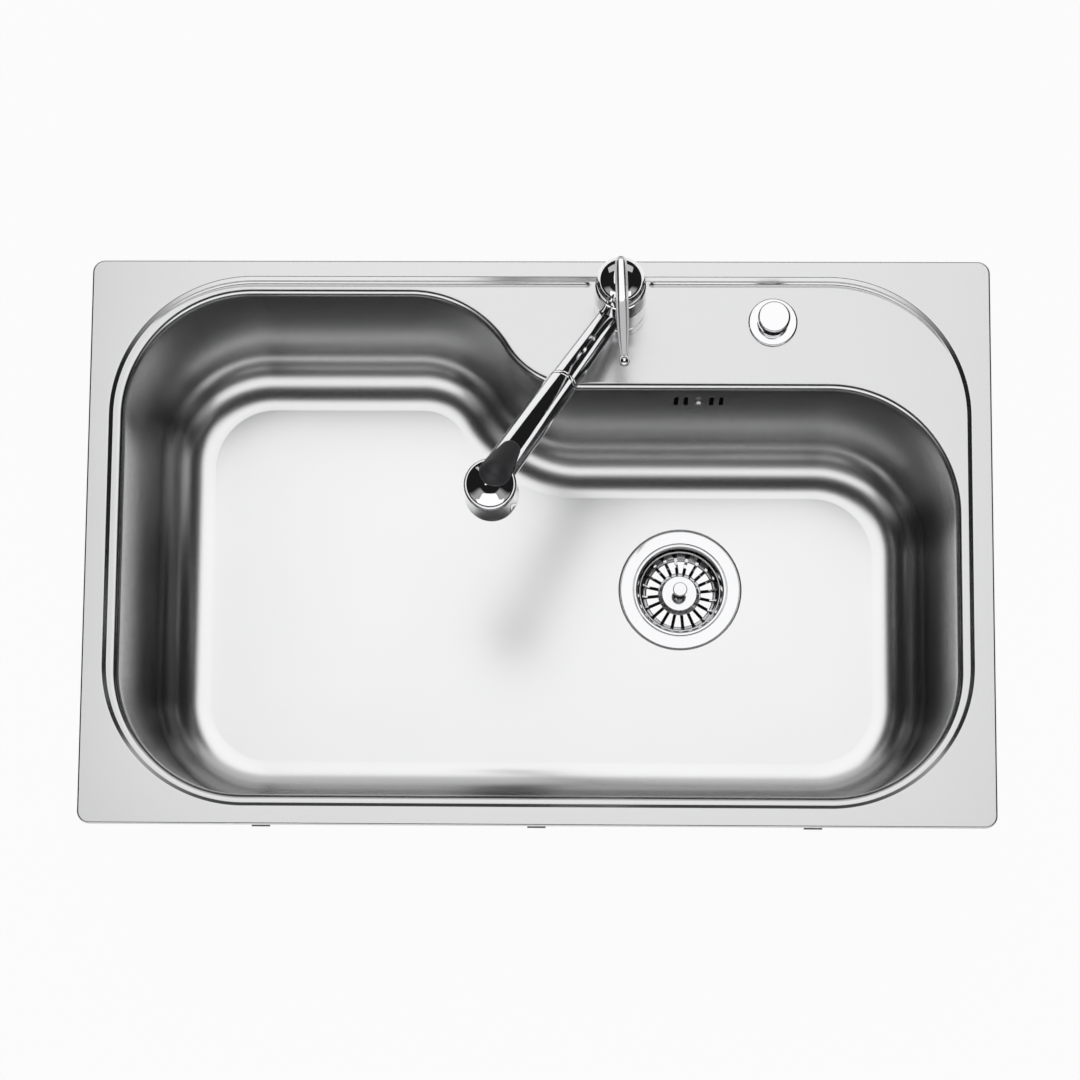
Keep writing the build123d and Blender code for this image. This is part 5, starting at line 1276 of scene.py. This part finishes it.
class SprayForm:
    """The spray's outer surface and what is cut from it."""

    def __init__(self, p):
        self.p = p
        self.deck = DECK
        self.foot = self.deck + p.foot_height
        self.top = self.foot + p.crown_height
        self.to_tap = np.array([sin(p.turn), cos(p.turn), 0])
        self.across = np.array([cos(p.turn), -sin(p.turn), 0])
        self.axis = np.array([TAP[0], TAP[1], 0]) - self.to_tap * p.reach
        along = -self.to_tap * cos(p.rise) + np.array([0, 0, sin(p.rise)])
        self.upright = Place((self.axis[0], self.axis[1], 0))
        self.line = Place((TAP[0], TAP[1], self.deck + p.root), along, self.across)
        self.joint_along = (p.reach - p.setback) / cos(p.rise)
        self.joint_height = self.deck + p.root + (p.reach - p.setback) * tan(p.rise)

    def grip(self, grow):
        """A cone on the spout's line with a round end, and a fine ring line near its rear."""
        p = self.p
        rear, front = p.grip_rear + grow, p.grip_front + grow
        start, end = p.grip_start, self.joint_along
        if grow:
            start -= 1 * mm
            rows = [(0, start, 0), (rear, start, 0), (front, end, 0)]
        else:
            ring = start + RING_PLACE
            rows = [
                (0, start, 0),
                (rear, start, GRIP_ROUND),
                (rear, ring - RING_HALF, 0.15 * mm),
                (rear - RING_DEPTH, ring, 0.15 * mm),
                (rear, ring + RING_HALF, 0.15 * mm),
                (front, end, 0),
            ]
        profile = np.vstack([section(rows, 6, False), arc((0, end), front, 0, 90, 17)[1:]])
        return Shell().lathe(self.line, profile, 112).mesh("grip", True)

    def head(self):
        """A bell turned from one outline: straight foot, hollow flare, rolled edge, cone, rounded top."""
        p = self.p
        lean = degrees(p.crown_lean)
        dome = arc((0, self.top - p.crown), p.crown, 90, 90 - lean, 14)
        reach = p.crown_edge - dome[-1][0]
        edge = dome[-1] + np.array([reach, -reach * tan(p.crown_lean)])
        cone = dome[-1] + (edge - dome[-1]) * np.linspace(0, 1, 8)[1:, None]
        centre = edge - p.crown_roll * np.array([sin(p.crown_lean), cos(p.crown_lean)])
        roll = arc(centre, p.crown_roll, 90 - lean, 2, 16)
        rim = self.foot + FOOT_BAND
        fall = np.linspace(0, 1, 24)
        flare = p.foot - roll[-1][0]
        drop = rim - roll[-1][1]
        flank = roll[-1] + np.column_stack([flare * fall**FLARE_POWER, drop * fall])
        foot = rounded([flank[-1], (p.foot, self.foot), (0, self.foot)], [0, 0.8 * mm, 0], 5)
        profile = np.vstack([dome, cone, roll[1:], flank[1:], foot[1:]])
        return Shell().lathe(self.upright, profile, 144).mesh("head", True)

    def hollow(self):
        """Room inside the head: straight mouth, then a narrower domed chamber."""
        p = self.p
        mouth, foot = p.foot - p.wall, self.foot
        rows = [
            (0, foot - 1 * mm, 0),
            (mouth, foot - 1 * mm, 0),
            (mouth, foot + 8 * mm, 1 * mm),
            (mouth - 2.7 * mm, foot + 14 * mm, 1 * mm),
            (mouth - 2.9 * mm, foot + 34 * mm, 4 * mm),
            (mouth / 2, self.top - 9 * mm, 3 * mm),
            (0, self.top - 6 * mm, 0),
        ]
        return Shell().lathe(self.upright, section(rows, 6, False), 96).mesh("hollow", True)

    def surface(self, u, v, soft):
        """Height of the spray's top at u towards the tap and v across: head and grip, smoothly joined."""
        p = self.p
        away = np.hypot(u, v)
        near = np.minimum(away, p.crown * sin(p.crown_lean))
        head = self.top - p.crown + np.sqrt(p.crown**2 - near**2) - (away - near) * tan(p.crown_lean)
        inside = np.sqrt(np.clip(p.grip_front**2 - v**2, 0, None))
        line = self.joint_height - (u - p.setback) * tan(p.rise)
        tangent = p.setback + inside * sin(p.rise)
        ball = self.joint_height + np.sqrt(np.clip(inside**2 - (u - p.setback) ** 2, 0, None))
        grip = np.where(u > tangent, line + inside / cos(p.rise), ball)
        higher, lower = np.maximum(head, grip), np.minimum(head, grip)
        return higher + soft * np.log1p(np.exp((lower - higher) / soft)) * 0.5

    def pad(self, gap, above, below, roll=0):
        """A closed pad over a tapered outline: the spray's surface moved up and down, its rim rolled over."""
        p = self.p
        centres = np.array([p.pad_start, p.pad_end])
        radii = np.array([p.pad_front, p.pad_rear]) + gap
        lean = degrees(acos((radii[0] - radii[1]) / (centres[1] - centres[0])))
        front = arc((centres[0], 0), radii[0], lean, 360 - lean, 57)
        rear = arc((centres[1], 0), radii[1], -lean, lean, 41)
        shares = np.linspace(0, 1, 12)[1:-1, None]
        ahead = front[-1] + (rear[0] - front[-1]) * shares
        back = rear[-1] + (front[0] - rear[-1]) * shares
        outline = np.vstack([front, ahead, rear, back])
        core = np.concatenate([
            np.full(len(front), centres[0]),
            centres[0] + (centres[1] - centres[0]) * shares[:, 0],
            np.full(len(rear), centres[1]),
            centres[1] + (centres[0] - centres[1]) * shares[:, 0],
        ])
        core = np.column_stack([core, np.zeros(len(core))])
        edge_rows = 0.8 + 0.2 * np.sin(np.linspace(0, pi / 2, 9))[1:]
        out = np.concatenate([np.linspace(0, 0.8, 12), edge_rows])
        rows = np.concatenate([out, out[::-1]])[:, None, None]
        flat = core[None] + (outline - core)[None] * rows
        edge = np.clip((rows[..., 0] - 0.9) / 0.1, 0, 1)
        level = self.surface(flat[..., 0], flat[..., 1], PAD_SOFTNESS)
        upper = np.arange(len(rows))[:, None] < len(out)
        fallen = roll * (1 - np.sqrt(1 - edge**2))
        height = np.where(upper, level + above - fallen, level - below)
        points = self.axis + flat[..., :1] * self.to_tap + flat[..., 1:] * self.across
        points[..., 2] = height
        return Shell().grid(points, close_columns=True).mesh("pad", True, 5e-6)


def combined(mesh, others, operation):
    """A mesh joined with, or cut by, other closed meshes."""
    base = bpy.data.objects.new("base", mesh)
    made = [base]
    bpy.context.scene.collection.objects.link(base)
    for other in others:
        tool = bpy.data.objects.new("tool", other)
        bpy.context.scene.collection.objects.link(tool)
        made.append(tool)
        cut = base.modifiers.new("cut", "BOOLEAN")
        cut.operation = operation
        cut.solver = "EXACT"
        cut.object = tool
    bpy.context.view_layer.update()
    result = bpy.data.meshes.new_from_object(base.evaluated_get(bpy.context.evaluated_depsgraph_get()))
    for item in made:
        bpy.data.objects.remove(item)
    if "flat" in result.attributes:
        result.attributes.remove(result.attributes["flat"])
    return result


# Carried-over nodes


# Nodes that show through a slot and get a finish unlike the rest of their slot: the overflow housing is black
# as painted shade behind the overflow's slots
OWN_LOOKS_AND_PAINTED_SHADE = {"overflow_housing": "black_plastic", "lever_stem": "zinc_steel"}


class SINK_OT_carried(Operator):
    """Give every carried-over node the finish of its slot, or one of its own; the overflow housing's black is
    painted shade
    """

    bl_idname = "sink.carried"
    bl_label = "Carried-over pieces"

    def execute(self, context):
        for part in frame["record"]["subparts"]:
            node = frame["nodes"][part["node"]]
            node.data.materials.clear()
            # The overflow housing's black stands for painted shade seen through the overflow's slots
            look = OWN_LOOKS_AND_PAINTED_SHADE.get(part["node"], part["material_slot"])
            node.data.materials.append(bpy.data.materials[SLOT_MATERIALS[look]])
        return {"FINISHED"}


# Studio

# Lamps: name, place, target, size and the radiance of their face, all lengths in metres
LAMPS = (
    ("overhead", (0, 1.15, 3.0), (0, 1.15, 0), (2.4, 2.9), 1.1),
    ("front", (0, -2.7, 1.55), (0, 0, -0.1), (5.4, 2.0), 0.85),
    ("back", (0, 2.4, 1.7), (0, 0, -0.1), (4.2, 1.5), 0.55),
)
# A lamp's power for each unit of radiance and of area
LAMP_FACTOR = pi
FLOOR_RADIUS = 6
TENT_RADIUS = 4.5
# Tent's bright band: its light, the heights where its foot and top fade, and where its front starts
BAND_LIGHT = 0.35
BAND_FOOT = (0.75, 1)
BAND_TOP = (3.3, 3.05)
BAND_FRONT = (-0.9, -1.9)


class SINK_OT_studio(Operator):
    """Set up the camera, the lamps, the tent and the floor"""

    bl_idname = "sink.studio"
    bl_label = "Studio"

    def execute(self, context):
        s = context.scene.sink_studio
        scene = context.scene
        camera = bpy.data.objects.new("camera", bpy.data.cameras.new("camera"))
        scene.collection.objects.link(camera)
        camera.data.lens = s.lens
        camera.data.sensor_width = 36
        camera.data.shift_y = s.shift
        camera.data.clip_end = 20
        turn = Matrix.Identity(4)
        for value, axis in ((s.roll, "Z"), (s.yaw, "Y"), (s.pitch, "X")):
            turn = turn @ Matrix.Rotation(value, 4, axis)
        camera.matrix_world = Matrix.Translation((s.camera_x, s.camera_y, s.camera_z)) @ turn
        scene.camera = camera
        for lamp in LAMPS:
            self.lamp(*lamp)
        self.floor(s.floor_level)
        self.tent(s.tent)
        self.world()
        scene.view_settings.view_transform = "Standard"
        return {"FINISHED"}

    def lamp(self, name, place, target, size, radiance):
        """Rectangular lamp whose face shows the given radiance."""
        light = bpy.data.lights.new(name, "AREA")
        light.shape = "RECTANGLE"
        light.size, light.size_y = size
        light.energy = radiance * size[0] * size[1] * LAMP_FACTOR
        lamp = bpy.data.objects.new(name, light)
        bpy.context.scene.collection.objects.link(lamp)
        aim = (Vector(target) - Vector(place)).to_track_quat("-Z", "Y")
        lamp.matrix_world = Matrix.Translation(place) @ aim.to_matrix().to_4x4()
        lamp.visible_camera = False

    def floor(self, level):
        """White floor, whose brightness to the camera and in reflections is mostly its own."""
        shell = Shell()
        shell.flat([circle((0, 0), FLOOR_RADIUS, level, 64)])
        floor = bpy.data.objects.new("floor", shell.mesh("floor"))
        bpy.context.scene.collection.objects.link(floor)
        material = bpy.data.materials.new("floor_paper")
        material.use_nodes = True
        tree = Tree(material.node_tree)
        shader = material.node_tree.nodes["Principled BSDF"]
        grain = tree.noise(500, 2)
        shade = tree.blend(grain, (0.93, 0.93, 0.93), (0.95, 0.95, 0.95))
        material.node_tree.links.new(shade.socket, shader.inputs["Base Color"])
        shader.inputs["Roughness"].default_value = 0.9
        glow = tree.node("Emission", None, {"Color": (1, 1, 1, 1), "Strength": 1.0})
        seen = seen_directly(tree) * 0.95
        both = tree.node("MixShader", None, {0: seen, 1: Wire(shader.outputs[0]), 2: glow})
        below = tree.node("NewGeometry", output="Backfacing")
        both = tree.node("MixShader", None, {0: below, 1: both, 2: tree.node("BsdfTransparent")})
        surface(material, both)
        floor.data.materials.append(material)

    def tent(self, level):
        """Half dome of dark cloth, bright in a low band round the front, and seen only in reflections."""
        turn = np.linspace(0, 2 * pi, 48, endpoint=False)[None, :]
        rise = np.linspace(-0.1, pi / 2, 16)[:, None]
        dome = Place((0, 0, 0)).ring(TENT_RADIUS * np.cos(rise), turn, TENT_RADIUS * np.sin(rise))
        shell = Shell().grid(dome, close_columns=True)
        tent = bpy.data.objects.new("tent", shell.mesh("tent"))
        bpy.context.scene.collection.objects.link(tent)
        material = bpy.data.materials.new("tent_cloth")
        material.use_nodes = True
        tree = Tree(material.node_tree)
        height = tree.part("Object", "Z")
        band = height.ramp(*BAND_FOOT) * height.ramp(*BAND_TOP)
        strength = level + band * tree.part("Object", "Y").ramp(*BAND_FRONT) * BAND_LIGHT
        glow = tree.node("Emission", None, {"Color": (1, 1, 1, 1), "Strength": strength})
        surface(material, glow)
        tent.data.materials.append(material)
        tent.visible_camera = False

    def world(self):
        """White to the camera and in reflections; the tent stands in front of it elsewhere."""
        world = bpy.data.worlds.new("studio")
        bpy.context.scene.world = world
        world.use_nodes = True
        tree = Tree(world.node_tree)
        back = world.node_tree.nodes["Background"]
        back.inputs["Color"].default_value = (1, 1, 1, 1)
        strength = seen_directly(tree) * 0.98 + 0.02
        world.node_tree.links.new(strength.socket, back.inputs["Strength"])


def surface(material, shader):
    """Link a shader to a material's surface."""
    output = material.node_tree.nodes["Material Output"]
    material.node_tree.links.new(shader.socket, output.inputs["Surface"])


def seen_directly(tree):
    """1 for camera, glossy and transmission rays, 0 for the rest."""
    path = tree.node("LightPath", output="Is Camera Ray").socket.node
    rays = [Wire(path.outputs[name]) for name in ("Is Camera Ray", "Is Glossy Ray", "Is Transmission Ray")]
    total = rays[0] + rays[1] + rays[2]
    return total.math("MINIMUM", total, 1)


# Panel and running order

STEPS = ("sheet", "waste", "control", "cap", "lever", "spray", "carried", "studio")


class SINK_PT_panel(Panel):
    """Sizes, finishes and building steps of the sink"""

    bl_label = "Kitchen sink"
    bl_idname = "SINK_PT_panel"
    bl_space_type = "VIEW_3D"
    bl_region_type = "UI"
    bl_category = "Sink"

    def draw(self, context):
        for name in GROUPS:
            group = getattr(context.scene, name)
            column = self.layout.column()
            for key in group.bl_rna.properties.keys():
                if key not in ("rna_type", "name"):
                    column.prop(group, key)
        for step in STEPS:
            self.layout.operator("sink." + step)


GROUPS = {
    "sink_sizes": SinkSizes,
    "sink_waste": WasteSizes,
    "sink_lever": LeverSizes,
    "sink_spray": SpraySizes,
    "sink_finishes": Finishes,
    "sink_studio": StudioSettings,
}
OPERATORS = (
    SINK_OT_sheet,
    SINK_OT_waste,
    SINK_OT_control,
    SINK_OT_cap,
    SINK_OT_lever,
    SINK_OT_spray,
    SINK_OT_carried,
    SINK_OT_studio,
)
CLASSES = (*GROUPS.values(), *OPERATORS, SINK_PT_panel)


def register():
    for cls in CLASSES:
        bpy.utils.register_class(cls)
    for key, group in GROUPS.items():
        setattr(bpy.types.Scene, key, PointerProperty(type=group))


def unregister():
    for key in GROUPS:
        delattr(bpy.types.Scene, key)
    for cls in reversed(CLASSES):
        bpy.utils.unregister_class(cls)


def main():
    register()
    for slot, material in make_finishes(bpy.context.scene.sink_finishes).items():
        SLOT_MATERIALS[slot] = material.name
    for step in STEPS:
        getattr(bpy.ops.sink, step)()


if __name__ == "__main__":
    main()
